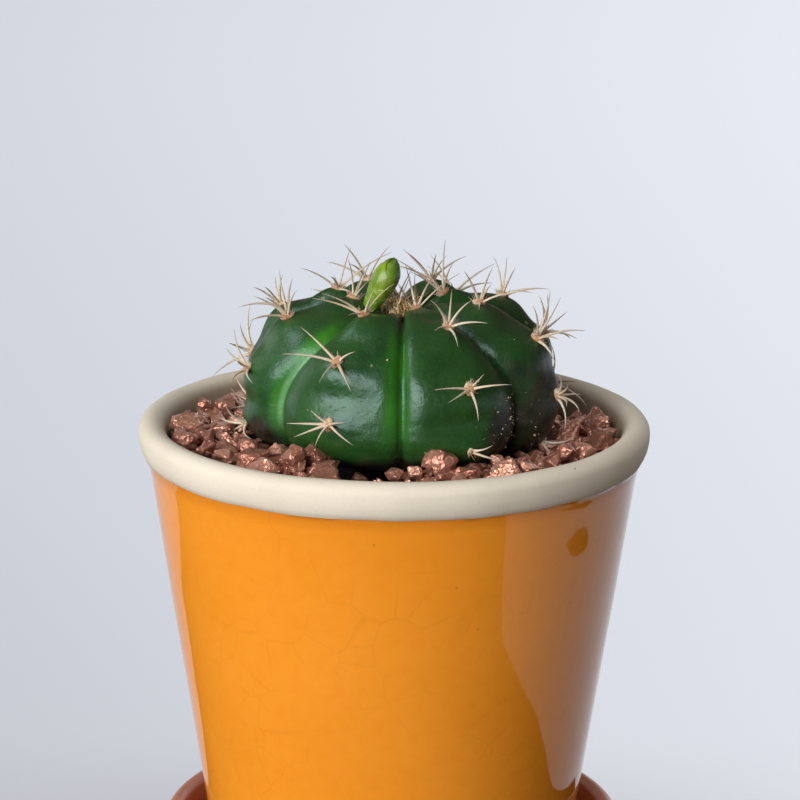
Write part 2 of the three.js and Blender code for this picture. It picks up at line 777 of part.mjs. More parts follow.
function add(name, geometry, finish) {
  const mesh = new THREE.Mesh(geometry, new THREE.MeshStandardMaterial(finishes[finish]));
  mesh.name = name;
  cactusInPot.add(mesh);
}

add("saucer", saucerGeometry(), "terracotta");
add("pot", potGeometry(), "glaze");
add("soil", soilGeometry(), "earth");
add("gravel", gravelGeometry(), "copperChip");
add("cactus", cactusGeometry(), "cactusSkin");
add("flower_bud", budGeometry(), "budGreen");

export default cactusInPot;
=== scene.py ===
import json
import math

import bmesh
import bpy
from mathutils import Euler, Matrix, Vector, noise

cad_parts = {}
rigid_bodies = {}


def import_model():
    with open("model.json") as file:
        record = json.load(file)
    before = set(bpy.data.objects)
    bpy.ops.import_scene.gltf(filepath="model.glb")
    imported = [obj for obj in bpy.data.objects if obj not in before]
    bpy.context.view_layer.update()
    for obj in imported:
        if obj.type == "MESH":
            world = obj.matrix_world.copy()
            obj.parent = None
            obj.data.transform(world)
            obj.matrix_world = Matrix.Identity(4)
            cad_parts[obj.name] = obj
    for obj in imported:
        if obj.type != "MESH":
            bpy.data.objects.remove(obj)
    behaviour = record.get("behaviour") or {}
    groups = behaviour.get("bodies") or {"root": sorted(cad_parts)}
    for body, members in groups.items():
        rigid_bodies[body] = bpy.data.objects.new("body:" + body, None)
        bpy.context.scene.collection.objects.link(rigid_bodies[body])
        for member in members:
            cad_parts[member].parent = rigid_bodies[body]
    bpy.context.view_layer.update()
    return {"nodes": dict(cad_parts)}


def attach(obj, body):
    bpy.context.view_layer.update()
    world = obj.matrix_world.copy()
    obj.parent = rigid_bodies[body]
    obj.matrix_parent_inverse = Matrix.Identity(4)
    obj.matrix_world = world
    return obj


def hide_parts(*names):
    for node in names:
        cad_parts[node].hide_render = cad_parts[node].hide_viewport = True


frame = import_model()

# every size below is in mm and becomes metres when a piece is finished
mm = 0.001
rimTop = 102.5  # top of the pot's lip above the table
goldenAngle = 137.508


# small helpers

def clamp01(x):
    return min(1.0, max(0.0, x))


def smooth(x):
    x = clamp01(x)
    return x * x * (3 - 2 * x)


def bell(x, width):  # 1 in the middle, fading on both sides
    return math.exp(-((x / width) ** 2))


def between(x, start, rise, end, fall):  # 1 in the middle of a stretch, 0 outside it
    return smooth((x - start) / rise) * (1 - smooth((x - end) / fall))


def draw(item, choice):  # repeatable, between 0 and 1
    wave = math.sin(item * 12.9898 + choice * 78.233 + 4.137) * 43758.5453
    return wave - math.floor(wave)


def arc(r, z, halfWidth, halfHeight, start, end, steps):
    turns = [math.radians(start + (end - start) * i / steps) for i in range(steps + 1)]
    return [(r + halfWidth * math.cos(a), z + halfHeight * math.sin(a)) for a in turns]


def roughly(at, size, seed=0.0):  # soft noise between about -1 and 1, bumps of that size in mm
    return noise.noise(Vector(at) / size + Vector((seed, -seed, 2 * seed)))


def meshOf(bm, name):  # takes the mm to metres
    mesh = bpy.data.meshes.new(name)
    bm.to_mesh(mesh)
    bm.free()
    mesh.transform(Matrix.Scale(mm, 4))
    return mesh


def pieceOf(mesh):
    piece = bpy.data.objects.new(mesh.name, mesh)
    bpy.context.scene.collection.objects.link(piece)
    return piece


def finishPiece(bm, name, materials, stands=(), sharp=None, turnOut=True):
    if turnOut:
        bmesh.ops.recalc_face_normals(bm, faces=bm.faces)
    mesh = meshOf(bm, name)
    mesh.shade_smooth()
    if sharp:
        mesh.set_sharp_from_angle(angle=math.radians(sharp))
    for material in materials:
        mesh.materials.append(material)
    piece = pieceOf(mesh)
    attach(piece, "root")
    for node in stands:
        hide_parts(node)
    return piece


def turnOutline(bm, outline, steps):  # a closed body about Z from (radius, height) pairs
    ring = [bm.verts.new((r, 0, z)) for r, z in outline]
    edges = [bm.edges.new(pair) for pair in zip(ring, ring[1:])]
    bmesh.ops.spin(bm, geom=ring + edges, axis=(0, 0, 1), cent=(0, 0, 0),
                   angle=2 * math.pi, steps=steps, use_merge=True)
    bmesh.ops.remove_doubles(bm, verts=bm.verts, dist=0.001)


# material helpers, which all add to the material being made

bench = {}


def fill(socket, value):  # a colour is given as three numbers
    socket.default_value = (*value, 1.0) if socket.type == "RGBA" else value


def newMaterial(name, **fixed):
    material = bpy.data.materials.new(name)
    material.use_nodes = True
    bench["tree"] = material.node_tree
    for socket, value in fixed.items():
        fill(shaderSocket(material, socket), value)
    return material


def shaderSocket(material, name):
    return material.node_tree.nodes["Principled BSDF"].inputs[name.replace("_", " ")]


def connect(material, **sockets):
    for name, value in sockets.items():
        material.node_tree.links.new(value, shaderSocket(material, name))
    return material


def addNode(kind, inputs=None, **settings):
    tree = bench["tree"]
    made = tree.nodes.new("ShaderNode" + kind)
    for key, value in settings.items():
        setattr(made, key, value)
    for key, value in (inputs or {}).items():
        if isinstance(value, bpy.types.NodeSocket):
            tree.links.new(value, made.inputs[key])
        else:
            fill(made.inputs[key], value)
    return made


def onPiece():
    return addNode("TexCoord").outputs["Object"]


def coordinate(axis):
    return addNode("SeparateXYZ", {"Vector": onPiece()}).outputs[axis]


def painted(layer):  # a value that the mesh carries
    return addNode("Attribute", attribute_name=layer).outputs["Fac"]


def cloud(scale, detail=3.0, at=None):
    inputs = {"Vector": at or onPiece(), "Scale": scale, "Detail": detail, "Roughness": 0.55}
    return addNode("TexNoise", inputs).outputs["Fac"]


def cells(scale, feature="F1"):
    return addNode("TexVoronoi", {"Vector": onPiece(), "Scale": scale}, feature=feature).outputs["Distance"]


def remap(value, low, high, toLow=0.0, toHigh=1.0):
    made = addNode("MapRange", {"Value": value, "From Min": low, "From Max": high,
                                "To Min": toLow, "To Max": toHigh}, clamp=True)
    return made.outputs["Result"]


def combine(operation, a, b):
    return addNode("Math", {0: a, 1: b}, operation=operation).outputs[0]


def tint(share, a, b):
    return addNode("Mix", {0: share, 6: a, 7: b}, data_type="RGBA").outputs[2]


def mottle(shade, hue, scale, detail, low, high, most=1.0):  # cloudy patches of another hue
    return tint(remap(cloud(scale, detail), low, high, 0.0, most), shade, hue)


def bumpFrom(*layers):  # layers of (height, strength, distance in metres)
    normal = None
    for height, strength, distance in layers:
        inputs = {"Height": height, "Strength": strength, "Distance": distance}
        if normal:
            inputs["Normal"] = normal
        normal = addNode("Bump", inputs).outputs["Normal"]
    return normal


# camera, at the photograph's angle

view = {
    "aim": (1.138, 0.0, 105.5),
    "distance": 600.0,
    "pitch": 14.58,
    "lens": 138.1,
    "roll": 0.0063,
}


def makeCamera():
    camera = bpy.data.cameras.new("camera")
    camera.lens = view["lens"]
    camera.sensor_width = 36
    camera.clip_start = 0.05
    camera.clip_end = 50
    holder = bpy.data.objects.new("camera", camera)
    bpy.context.scene.collection.objects.link(holder)
    down = math.radians(view["pitch"])
    back = Vector((0, -math.cos(down), math.sin(down))) * view["distance"]
    turn = Euler((math.pi / 2 - down, 0, 0)).to_matrix() @ Matrix.Rotation(view["roll"], 3, "Z")
    holder.matrix_world = Matrix.Translation((Vector(view["aim"]) + back) * mm) @ turn.to_4x4()
    bpy.context.scene.camera = holder


makeCamera()
print("camera placed")


# floor and light

studio = {
    "floorSize": 9.0,
    "floorPaintedLightRamp": ((0.64, 0.67, 0.72), (0.80, 0.835, 0.89)),
    "air": (1.0, 0.80, 0.64),
    "airStrength": 0.12,
    "lamps": [
        # name, place and aim in metres, width, height, power, colour, what it lights
        ("leftWindow", (-0.67, -0.92, 0.47), (0, 0, 0.10), 1.15, 0.75, 19.6, (1.0, 0.97, 0.925), "pieces"),
        ("leftWall", (-1.05, 0.65, 0.30), (0, 0, 0.10), 0.9, 0.6, 1.3, (0.93, 0.97, 1.0), "pieces"),
        ("highWindow", (-0.75, 0.05, 0.95), (0, 0, 0.10), 0.6, 0.45, 3.2, (0.97, 0.98, 1.0), "stemOnly"),
        ("rightSky", (0.42, -0.1, 0.95), (0, 0, 0.10), 0.8, 0.6, 1.6, (1.0, 0.97, 0.92), "allButStem"),
        ("backWall", (-0.2, 1.3, 0.42), (0, 0, 0.1), 2.4, 0.8, 2.6, (0.93, 0.96, 1.0), "allButStem"),
        ("backRight", (0.62, 1.0, 0.35), (0, 0, 0.1), 1.0, 0.6, 2.3, (0.97, 0.97, 1.0), "allButStem"),
        ("floorGlow", (0.2, 1.3, 2.2), (0.2, 1.3, 0), 4.5, 4.5, 107, (0.955, 0.985, 1.03), "floor"),
    ],
    # a dark cloth lies on the floor in front, and only the glaze mirrors it: its edge in mm
    "clothEdge": [(69, 45), (83, 3), (99, -11), (112, -30), (113, -55), (112, -92), (148, -128),
                  (600, -580), (0, -800), (-700, -500), (-700, 60), (-150, 110), (-69, 45)],
    "clothHole": {"at": (199, -2), "across": 11, "along": 42},
    "clothHeight": 0.4,
}


def stagePiece(bm, name, material):
    mesh = meshOf(bm, name)
    mesh.materials.append(material)
    piece = pieceOf(mesh)
    return piece


def leaveOut(piece, group):  # the lamps of that group don't light the piece
    studio[group].objects.link(piece)
    for entry, known in zip(studio[group].collection_objects, studio[group].objects):
        if known == piece:
            entry.light_linking.link_state = "EXCLUDE"


def paleFloor():
    paper = newMaterial("paleFloor", Roughness=0.85, Specular_IOR_Level=0.2)
    # painted light falloff: the floor is painted lighter to the right and darker to the left
    depth = combine("MAXIMUM", combine("ADD", coordinate("Y"), 0.6), 0.1)
    shade = tint(remap(combine("DIVIDE", coordinate("X"), depth), -0.16, 0.16), *studio["floorPaintedLightRamp"])
    # painted shade: the near left corner of the floor is painted darker
    corner = combine("ADD", coordinate("Y"), combine("MULTIPLY", coordinate("X"), 1.5))
    shade = tint(remap(corner, 0.15, -0.2, 0.0, 0.16), shade, (0.3, 0.3, 0.32))
    return connect(paper, Base_Color=shade)


def makeFloor():
    bm = bmesh.new()
    bmesh.ops.create_circle(bm, cap_ends=True, segments=96, radius=studio["floorSize"] / mm / 2)
    floor = stagePiece(bm, "floor", paleFloor())
    floor.visible_diffuse = False
    studio["floor"].objects.link(floor)
    for group in ("pieces", "allButStem"):
        leaveOut(floor, group)


def makeCloth():
    bm = bmesh.new()
    hole, lift = studio["clothHole"], studio["clothHeight"]
    bm.faces.new([bm.verts.new((x, y, lift)) for x, y in studio["clothEdge"]])
    made = bmesh.ops.create_circle(bm, cap_ends=True, segments=32, radius=1)
    for vert in made["verts"]:
        x, y = vert.co.x * hole["across"], vert.co.y * hole["along"]
        vert.co = (hole["at"][0] + x, hole["at"][1] + y, lift)
    black = newMaterial("darkCloth", Base_Color=(0.01, 0.008, 0.006), Roughness=1.0,
                        Specular_IOR_Level=0.0)
    cloth = stagePiece(bm, "darkCloth", black)
    cloth.visible_camera = cloth.visible_diffuse = cloth.visible_shadow = False
    cloth.visible_transmission = cloth.visible_volume_scatter = False


def makeLamps():
    world = bpy.data.worlds.new("air")
    bpy.context.scene.world = world
    world.use_nodes = True
    sky = world.node_tree.nodes["Background"]
    fill(sky.inputs["Color"], studio["air"])
    fill(sky.inputs["Strength"], studio["airStrength"])
    for name, at, aim, width, height, power, hue, lights in studio["lamps"]:
        lamp = bpy.data.lights.new(name, "AREA")
        lamp.shape = "RECTANGLE"
        lamp.size, lamp.size_y = width, height
        lamp.energy = power
        lamp.color = hue
        holder = bpy.data.objects.new(name, lamp)
        holder.light_linking.receiver_collection = studio[lights]
        bpy.context.scene.collection.objects.link(holder)
        toward = Vector(aim) - Vector(at)
        holder.rotation_euler = toward.to_track_quat("-Z", "Y").to_euler()
        holder.location = at
        holder.visible_camera = False


bpy.context.scene.view_settings.view_transform = "Standard"
for name in ("floor", "pieces", "allButStem", "stemOnly"):
    studio[name] = bpy.data.collections.new(name)
makeFloor()
makeCloth()
makeLamps()
print("floor and light set")


# saucer

saucer = {
    "height": 20,
    "floor": 4.5,
    "footRadius": 37.5,
    "rimRadius": 45.9,
    "lipWidth": 3.4,
    "wallRadius": 40.6,
    "steps": 144,
}


def terracotta():
    material = newMaterial("terracotta", Coat_Weight=0.25, Coat_Roughness=0.25)
    shade = mottle((0.40, 0.14, 0.075), (0.52, 0.21, 0.12), 60, 3.0, 0.35, 0.7)
    rings = addNode("Mapping", {"Vector": onPiece(), "Scale": (25, 25, 900)})
    lines = cloud(1.0, 2.0, rings.outputs["Vector"])
    shade = tint(remap(lines, 0.3, 0.75, 0.0, 0.35), shade, (0.30, 0.10, 0.055))
    shade = mottle(shade, (0.62, 0.36, 0.25), 900, 2.0, 0.62, 0.75, 0.4)  # dust
    normal = bumpFrom((lines, 0.12, 0.0004), (cloud(1400, 2.0), 0.1, 0.0002))
    return connect(material, Base_Color=shade, Normal=normal,
                   Roughness=remap(cloud(200), 0.3, 0.7, 0.42, 0.62))


def makeSaucer():
    lip = saucer["lipWidth"] / 2
    foot, rim, wall, floor = (saucer[k] for k in ("footRadius", "rimRadius", "wallRadius", "floor"))
    outline = [
        (0, 1), (foot - 6, 1), *arc(foot - 5, 0.5, 0.7, 0.5, 180, 270, 3),
        (foot, 0), (foot + 0.8, 0.15), (foot + 1.4, 0.7), (rim - 5.2, 3.0), (rim - 3.3, 5.2),
        (rim - 2.2, 8), (rim - 1.3, 11.5), (rim - 0.6, 15), (rim - 0.2, 16.8),
        *arc(rim - lip, saucer["height"] - 2, lip, 2, 0, 180, 12),
        (wall + 1.4, 15.5), (wall + 0.9, 12), (wall + 0.2, 8.5), (wall - 0.3, 6.6),
        (wall - 1.2, floor + 0.8), (wall - 2.4, floor + 0.15), (wall - 3.6, floor), (0, floor),
    ]
    bm = bmesh.new()
    turnOutline(bm, outline, saucer["steps"])
    for vert in bm.verts:
        side = Vector((vert.co.x, vert.co.y, 0))
        if side.length > foot:
            vert.co += side.normalized() * 0.05 * roughly(vert.co, 14)
    finishPiece(bm, "saucer_terracotta", [terracotta()], ["saucer"], 38)


makeSaucer()
print("saucer made")


# pot: an orange glazed wall under a thick bare lip

pot = {
    "height": 98,
    "rimRadius": 50,
    "mouthRadius": 44.5,
    "rimHeight": 7.1,
    "neckRadius": 47.9,
    "footRadius": 34.5,
    "innerFootRadius": 30.2,
    "floorTop": 8,
    "footRecess": 2,
    "drainRadius": 6,
    "unround": 0.10,
    "lipUneven": 0.16,
    "rows": 14,  # of the glazed wall
    "glazeEdge": 0.35,  # below the lip
    "steps": 192,
}


def potInside(below):  # the inside wall's radius at a height below the lip's top
    share = clamp01((below + 3) / (pot["floorTop"] - pot["height"] + 3))
    return pot["mouthRadius"] + (pot["innerFootRadius"] - pot["mouthRadius"]) * share


def orangeGlaze():
    material = newMaterial("orangeGlaze", Roughness=0.3, Specular_IOR_Level=0.0,
                           Coat_Weight=1.0, Coat_Roughness=0.045, Coat_IOR=1.38,
                           Subsurface_Weight=0.12, Subsurface_Radius=(1.0, 0.35, 0.08),
                           Subsurface_Scale=0.0015)
    shade = mottle((0.83, 0.290, 0.021), (0.88, 0.320, 0.030), 30, 3.0, 0.3, 0.72)
    shade = mottle(shade, (0.76, 0.215, 0.008), 420, 3.0, 0.45, 0.75, 0.22)
    # a darker band just under the lip: partly glaze pooled there, partly painted shade under the lip's
    # overhang
    neck = remap(coordinate("Z"), 0.0925, 0.0950, 0.0, 0.45)
    shade = tint(neck, shade, (0.42, 0.12, 0.012))
    crazing = remap(cells(120, "DISTANCE_TO_EDGE"), 0.0, 0.035, 0.10, 0.0)
    patches = remap(cloud(55, 2.0), 0.45, 0.62)
    shade = tint(combine("MULTIPLY", crazing, patches), shade, (0.36, 0.09, 0.005))
    pinholes = remap(cells(110), 0.025, 0.04, 0.35, 0.0)
    shade = tint(pinholes, shade, (0.35, 0.09, 0.01))
    normal = bumpFrom((cloud(22, 2.0), 0.10, 0.004), (cloud(130, 2.0), 0.05, 0.0008))
    return connect(material, Base_Color=shade, Coat_Normal=normal)


def bareClay():
    material = newMaterial("bareClay", Roughness=0.72, Specular_IOR_Level=0.3)
    shade = mottle((0.72, 0.675, 0.580), (0.78, 0.74, 0.650), 70, 4.0, 0.3, 0.7)
    grain = cloud(1700, 3.0)
    shade = tint(remap(grain, 0.5, 0.8, 0.0, 0.2), shade, (0.56, 0.50, 0.40))
    specks = remap(cells(260), 0.05, 0.09, 0.75, 0.0)
    rare = remap(cloud(150, 1.0), 0.6, 0.66)
    shade = tint(combine("MULTIPLY", specks, rare), shade, (0.10, 0.07, 0.05))
    # painted shade: the inner wall is painted darker below the lip's top
    paintedInnerShade = remap(coordinate("Z"), 0.1026, 0.1004, 0.0, 0.85)
    shade = tint(combine("MULTIPLY", paintedInnerShade, painted("inside")), shade, (0.29, 0.23, 0.165))
    normal = bumpFrom((cloud(160, 3.0), 0.10, 0.0006), (grain, 0.12, 0.0002))
    return connect(material, Base_Color=shade, Normal=normal)


def makePot():
    middle = (pot["rimRadius"] + pot["mouthRadius"]) / 2
    half = (pot["rimRadius"] - pot["mouthRadius"]) / 2
    rim, neck, foot, inner = (pot[k] for k in ("rimRadius", "neckRadius", "footRadius", "innerFootRadius"))
    base = -pot["height"]
    glazed = [
        (pot["drainRadius"], base + pot["footRecess"]), (foot - 8, base + pot["footRecess"]),
        (foot - 7.4, base + 1.6), (foot - 7, base), (foot - 1.5, base), (foot - 0.6, base + 0.2),
        (foot - 0.1, base + 0.7), (foot + 0.15, base + 1.5),
    ]
    for i in range(1, pot["rows"] + 1):
        share = i / pot["rows"]
        glazed.append((foot + 0.15 + (neck - 0.35 - foot) * share, base + 1.5 - (base + 11.5) * share))
    glazed += [(neck + 0.1, -8.9), (neck + 0.2, -8.0)]
    lip = [
        (neck + 0.35, -pot["rimHeight"] - 0.1), (neck + 0.9, -pot["rimHeight"] + 0.25), (rim - 0.7, -5.9),
        (rim - 0.3, -4.9), (rim - 0.05, -3.7),
        *arc(middle + 0.2, -2.3, half - 0.2, 2.3, 0, 90, 8),
        *arc(middle + 0.2, -3.2, half + 0.2, 3.2, 100, 180, 9),
    ]
    inside = [(potInside(z) - 0.02, z) for z in (-5, -8, -12, -30, -60)]
    inside += [(inner + 0.9, base + pot["floorTop"] + 5), (inner - 0.4, base + pot["floorTop"] + 1.6),
               (inner - 2.8, base + pot["floorTop"]), (pot["drainRadius"], base + pot["floorTop"]),
               (pot["drainRadius"], base + pot["footRecess"])]
    bm = bmesh.new()
    turnOutline(bm, glazed + lip + inside, pot["steps"])
    bmesh.ops.translate(bm, verts=bm.verts, vec=(0, 0, rimTop))
    insideLayer = bm.verts.layers.float.new("inside")
    for vert in bm.verts:
        r = math.hypot(vert.co.x, vert.co.y)
        below = vert.co.z - rimTop
        # marks the inner wall, where the bare clay gets painted shade
        vert[insideLayer] = smooth((47.0 - r) / 2.0) if below > -14 else 1.0
        if r > foot:  # thrown by hand, so not quite round
            push = pot["unround"] * roughly(vert.co, 26)
            if below > -7.5:
                push += pot["unround"] * roughly(vert.co, 9, 3.1)
            vert.co.x += push * vert.co.x / r
            vert.co.y += push * vert.co.y / r
            if -8.6 < below < -6.6:
                vert.co.z += pot["lipUneven"] * roughly(vert.co, 7, 5.0)
            elif below > -3:
                vert.co.z += min(0, pot["lipUneven"] * (roughly(vert.co, 12, 1.3) - 0.5))
    glazeLine = rimTop - pot["rimHeight"] - pot["glazeEdge"]
    for face in bm.faces:
        at = face.calc_center_median()
        outside = math.hypot(at.x, at.y) > potInside(at.z - rimTop) + 1.2
        face.material_index = 0 if outside and at.z < glazeLine else 1
    finishPiece(bm, "pot_glazed", [orangeGlaze(), bareClay()], ["pot"], 45)


makePot()
print("pot made")


# soil keeps its solid and gets its finish

def pottingSoil():
    material = newMaterial("pottingSoil", Roughness=0.95)
    shade = mottle((0.012, 0.008, 0.005), (0.06, 0.035, 0.02), 700, 5.0, 0.35, 0.7)
    fibres = remap(cells(900), 0.1, 0.2, 0.5, 0.0)
    shade = tint(fibres, shade, (0.16, 0.10, 0.06))
    return connect(material, Base_Color=shade, Normal=bumpFrom((cloud(600, 6.0), 0.9, 0.001)))


def dressSoil():
    bed = frame["nodes"]["soil"]
    bed.data.materials.clear()
    bed.data.materials.append(pottingSoil())


dressSoil()
print("soil dressed")


# stem: the ribs, with the spines of the cushions in full view as [clock, lift, length]

stem = {
    "centre": (1.5, 0, rimTop + 3),
    "radius": 31.4,
    "rise": 21.6,
    "drop": 11.5,
    "upperFullness": 2.8,
    "lowerFullness": 2.1,
    "crownDip": 0.26,
    "crownDipWidth": 18,
    "grooveDepth": 0.14,
    "grooveSharpness": 2.8,
    "grooveFullAt": 26,
    "grooveFadesAt": 92,
    "grooveEndsAt": 126,
    "swayFrom": 86,
    "swayFull": 44,
    "saddleAt": 22,
    "saddleReach": 9,
    "underside": 140,
    "perRib": 36,
    "rings": 168,
    "undersideRing": 0.93,  # share of the rings above the root
    "rootRadius": 9,
    "rootDepth": 13,
    "rootTip": 50.4,
    "crease": 0.45,
    "creaseWidth": 0.055,
    "creased": (8, 20, 95, 25),  # start, rise, end and fall, in degrees from the top
    "uneven": ((0.22, 9, 0.0), (0.10, 3.2, 4.0)),  # height, size and seed of the bumps
    "wrinkle": 0.16,
    "wrinkledFrom": 78,
    "glowing": {"left": 0.66, "right": 0.82, "reach": 0.22, "from": (36, 20, 82, 16)},  # wider on the left; partly the young tissue's own green, partly painted light where the groove faces the lamp
    # painted highlight: a pale line along a groove's left bank stands in for the lamp's highlight there
    "paintedHighlightLine": {"at": 0.95, "width": 0.035, "from": (52, 12, 84, 12)},
    "corkFrom": 92,
}

# "sway" leans the groove sideways near the crown, "shallow" is its share of the usual depth,
# "sharp" how fast it falls, "glow" how bright a green shows in it, partly its young tissue's own green and
# partly painted light, "paintedHighlight" a painted highlight line on its left bank,
# and "saddle" lowers the crest near the crown
ribs = [
    {"azimuth": -71, "groove": -54, "sway": 16, "shallow": 0.72, "glow": 1, "paintedHighlight": 0.75,
     "first": 25, "spread": 1.0, "seen": [
        [[145, 50, 9.5], [110, 40, 9], [100, 30, 9.5], [85, 25, 10], [-60, 50, 9]],
        [[155, 20, 9.5], [160, 50, 9], [135, 50, 8.5], [-65, 50, 9.5], [-50, 35, 8.5], [75, 40, 10]],
        [[-80, 25, 7.5], [80, 35, 9], [120, 30, 8], [100, 5, 8.5], [-20, 40, 8]],
        [[-90, 20, 9], [-115, 10, 7], [95, 10, 8], [20, 30, 7]]]},
    {"azimuth": -25, "groove": 0, "sharp": 8.0, "shallow": 0.45, "saddle": 1.9, "glow": 1,
     "first": 11, "spread": 1.0, "seen": [
        None,
        [[-125, 20, 10.5], [-140, 30, 10], [-170, 10, 5], [95, 45, 9.5], [135, 45, 9]],
        [[-65, 35, 9.5], [-110, 30, 10.5], [175, 30, 9], [140, 10, 9.5], [75, 30, 5]],
        [[-50, 35, 4.5], [-95, 25, 8], [-120, 30, 7], [180, 50, 6.5], [115, 20, 8], [80, 40, 7.5]]]},
    {"azimuth": 24, "groove": 52, "sway": -13, "saddle": 0.7, "first": 18, "spread": 1.08, "seen": [
        [[-10, 35, 10], [20, 70, 10.5], [85, 50, 9.5], [100, 30, 11.5], [-70, 35, 9]],
        [[-110, 50, 9], [25, 30, 8.5], [165, 55, 9.5], [155, 25, 10], [-125, 10, 5.5], [-165, 5, 10.5]],
        [[-90, 15, 8.5], [-115, 25, 8], [-170, 25, 8], [100, 35, 8], [50, 35, 4]],
        [[100, 25, 6.5], [60, 25, 4.5], [-110, 40, 7], [-130, 60, 7], [170, 65, 7]]]},
    {"azimuth": 68, "groove": 91, "first": 9, "spread": 0.98, "seen": [
        None,
        [[-110, 5, 10.5], [-80, 50, 9.5], [-135, 55, 10], [-150, 50, 5.5], [-160, 20, 9.5]],
        [[-55, 45, 9.5], [50, 45, 10], [70, 50, 9.5], [145, 40, 9.5], [-140, 5, 8.5], [-125, 35, 9]],
        [[105, 15, 7.5], [-120, 45, 8], [-100, 30, 8], [-135, 15, 8.5], [-65, 35, 9], [-50, 25, 8]],
        [[85, 15, 7], [-70, 20, 8.5], [30, 30, 7]]]},
    {"azimuth": 113, "groove": 136, "first": 22, "spread": 0.95, "seen": [
        None, [[85, 45, 9], [110, 45, 9.5], [-75, 45, 9], [-145, 20, 9.5], [-105, 15, 9]]]},
    {"azimuth": 158, "groove": 181, "first": 7, "spread": 0.98, "seen": [
        None, [[25, 45, 9], [-30, 45, 9.5], [-45, 40, 10], [-85, 35, 9.5], [35, 25, 9]]]},
    {"azimuth": 203, "groove": 226, "first": 12, "spread": 1.03, "seen": [
        None, [[65, 50, 10], [95, 25, 9.5], [45, 25, 9.5], [-20, 45, 10]]]},
    {"azimuth": 249, "groove": 267, "first": 32, "spread": 0.97, "seen": [
        [[130, 25, 10], [80, 25, 10.5], [-95, 50, 9], [-25, 40, 12.5], [50, 5, 12]],
        [[130, 20, 9], [95, 40, 8.5], [75, 35, 8], [-105, 35, 9], [40, 35, 9]]]},
]

tubercle = {
    "swell": 1.0,
    "swellBelow": 3,
    "swellReach": 7,
    "notch": 0.6,
    "notchAbove": 9,
    "notchReach": 4.5,
    "halfWidth": 0.5,
    "fullAt": 14,
}

corkAndShadePatches = [  # where the skin has dried brown, low on the stem; on the right side (azimuths 46 and 68) the patches are partly dried skin and partly painted shade
    {"azimuth": 46, "angle": 97, "wide": 21, "tall": 22, "darkness": 0.85},
    {"azimuth": 68, "angle": 90, "wide": 26, "tall": 33, "darkness": 0.85},
    {"azimuth": -64, "angle": 98, "wide": 10, "tall": 11, "darkness": 0.9},
    {"azimuth": -82, "angle": 84, "wide": 7, "tall": 10, "darkness": 0.4},
    {"azimuth": 150, "angle": 96, "wide": 20, "tall": 12, "darkness": 0.7},
    {"azimuth": -34, "angle": 107, "wide": 24, "tall": 11, "darkness": 0.7},
]

cushion = {
    "width": 1.12,
    "length": 1.45,
    "height": 0.75,
    "spacing": 30,
    "closing": 0.14,
    "lowest": 101.5,
    "lump": 0.28,
    "oldShrinks": 0.45,
    "hairs": 16,
    "hairRadius": 0.085,
}


def cushionAngles(rib):
    angle = rib["first"]
    while angle <= cushion["lowest"]:
        yield angle
        angle += rib["spread"] * (cushion["spacing"] - cushion["closing"] * angle)


for rib in ribs:
    rib["cushions"] = list(cushionAngles(rib))


def turnTo(start, end):
    return (end - start) % 360


def grooveAt(rib, angle):
    sway = smooth((stem["swayFrom"] - angle) / (stem["swayFrom"] - stem["swayFull"]))
    return rib["groove"] + rib.get("sway", 0) * sway


def azimuthAt(turn, angle):  # 1 is the crest of rib 1, and 1.5 the groove after it
    here = int(turn) % len(ribs)
    share = turn - int(turn)
    rib, after = ribs[here], ribs[(here + 1) % len(ribs)]
    groove = grooveAt(rib, angle)
    toGroove = turnTo(rib["azimuth"], groove)
    toNext = turnTo(groove, after["azimuth"])
    return rib["azimuth"] + 2 * (min(share, 0.5) * toGroove + max(share - 0.5, 0) * toNext)


def ribAt(azimuth, angle):  # its rib, how far out it is (0 on the crest, 1 in the groove), and whose groove
    for number, rib in enumerate(ribs):
        before = grooveAt(ribs[number - 1], angle)
        groove = grooveAt(rib, angle)
        past = turnTo(before, azimuth)
        if past < turnTo(before, groove):
            crest = turnTo(before, rib["azimuth"])
            if past < crest:
                return rib, 1 - past / crest, ribs[number - 1]
            return rib, (past - crest) / turnTo(rib["azimuth"], groove), rib


def crestReach(angle):
    up = angle < 90
    fullness = stem["upperFullness"] if up else stem["lowerFullness"]
    across = abs(math.sin(math.radians(angle))) / stem["radius"]
    along = abs(math.cos(math.radians(angle))) / (stem["rise"] if up else stem["drop"])
    dip = 1 - stem["crownDip"] * bell(angle, stem["crownDipWidth"])
    return dip * (across ** fullness + along ** fullness) ** (-1 / fullness)


def stemReach(azimuth, angle):
    rib, out, groove = ribAt(azimuth, angle)
    fading = smooth((angle - stem["grooveFadesAt"]) / (stem["grooveEndsAt"] - stem["grooveFadesAt"]))
    depth = stem["grooveDepth"] * smooth(angle / stem["grooveFullAt"]) * (1 - fading)
    depth *= 1 - (1 - groove.get("shallow", 1)) * smooth((angle - 24) / 24)
    relief = 0
    for at in rib["cushions"]:
        relief += tubercle["swell"] * bell(angle - at - tubercle["swellBelow"], tubercle["swellReach"])
        relief -= tubercle["notch"] * bell(angle - at + tubercle["notchAbove"], tubercle["notchReach"])
    relief *= bell(out, tubercle["halfWidth"]) * smooth(angle / tubercle["fullAt"])
    saddle = bell(angle - stem["saddleAt"], stem["saddleReach"]) * (1 - out ** 2)
    relief -= rib.get("saddle", 0) * saddle
    return crestReach(angle) * (1 - depth * out ** groove.get("sharp", stem["grooveSharpness"])) + relief


def stemPoint(azimuth, angle, proud=0.0):
    a, b = math.radians(azimuth), math.radians(angle)
    away = Vector((math.sin(b) * math.sin(a), -math.sin(b) * math.cos(a), math.cos(b)))
    return away * (stemReach(azimuth, angle) + proud) + Vector(stem["centre"])


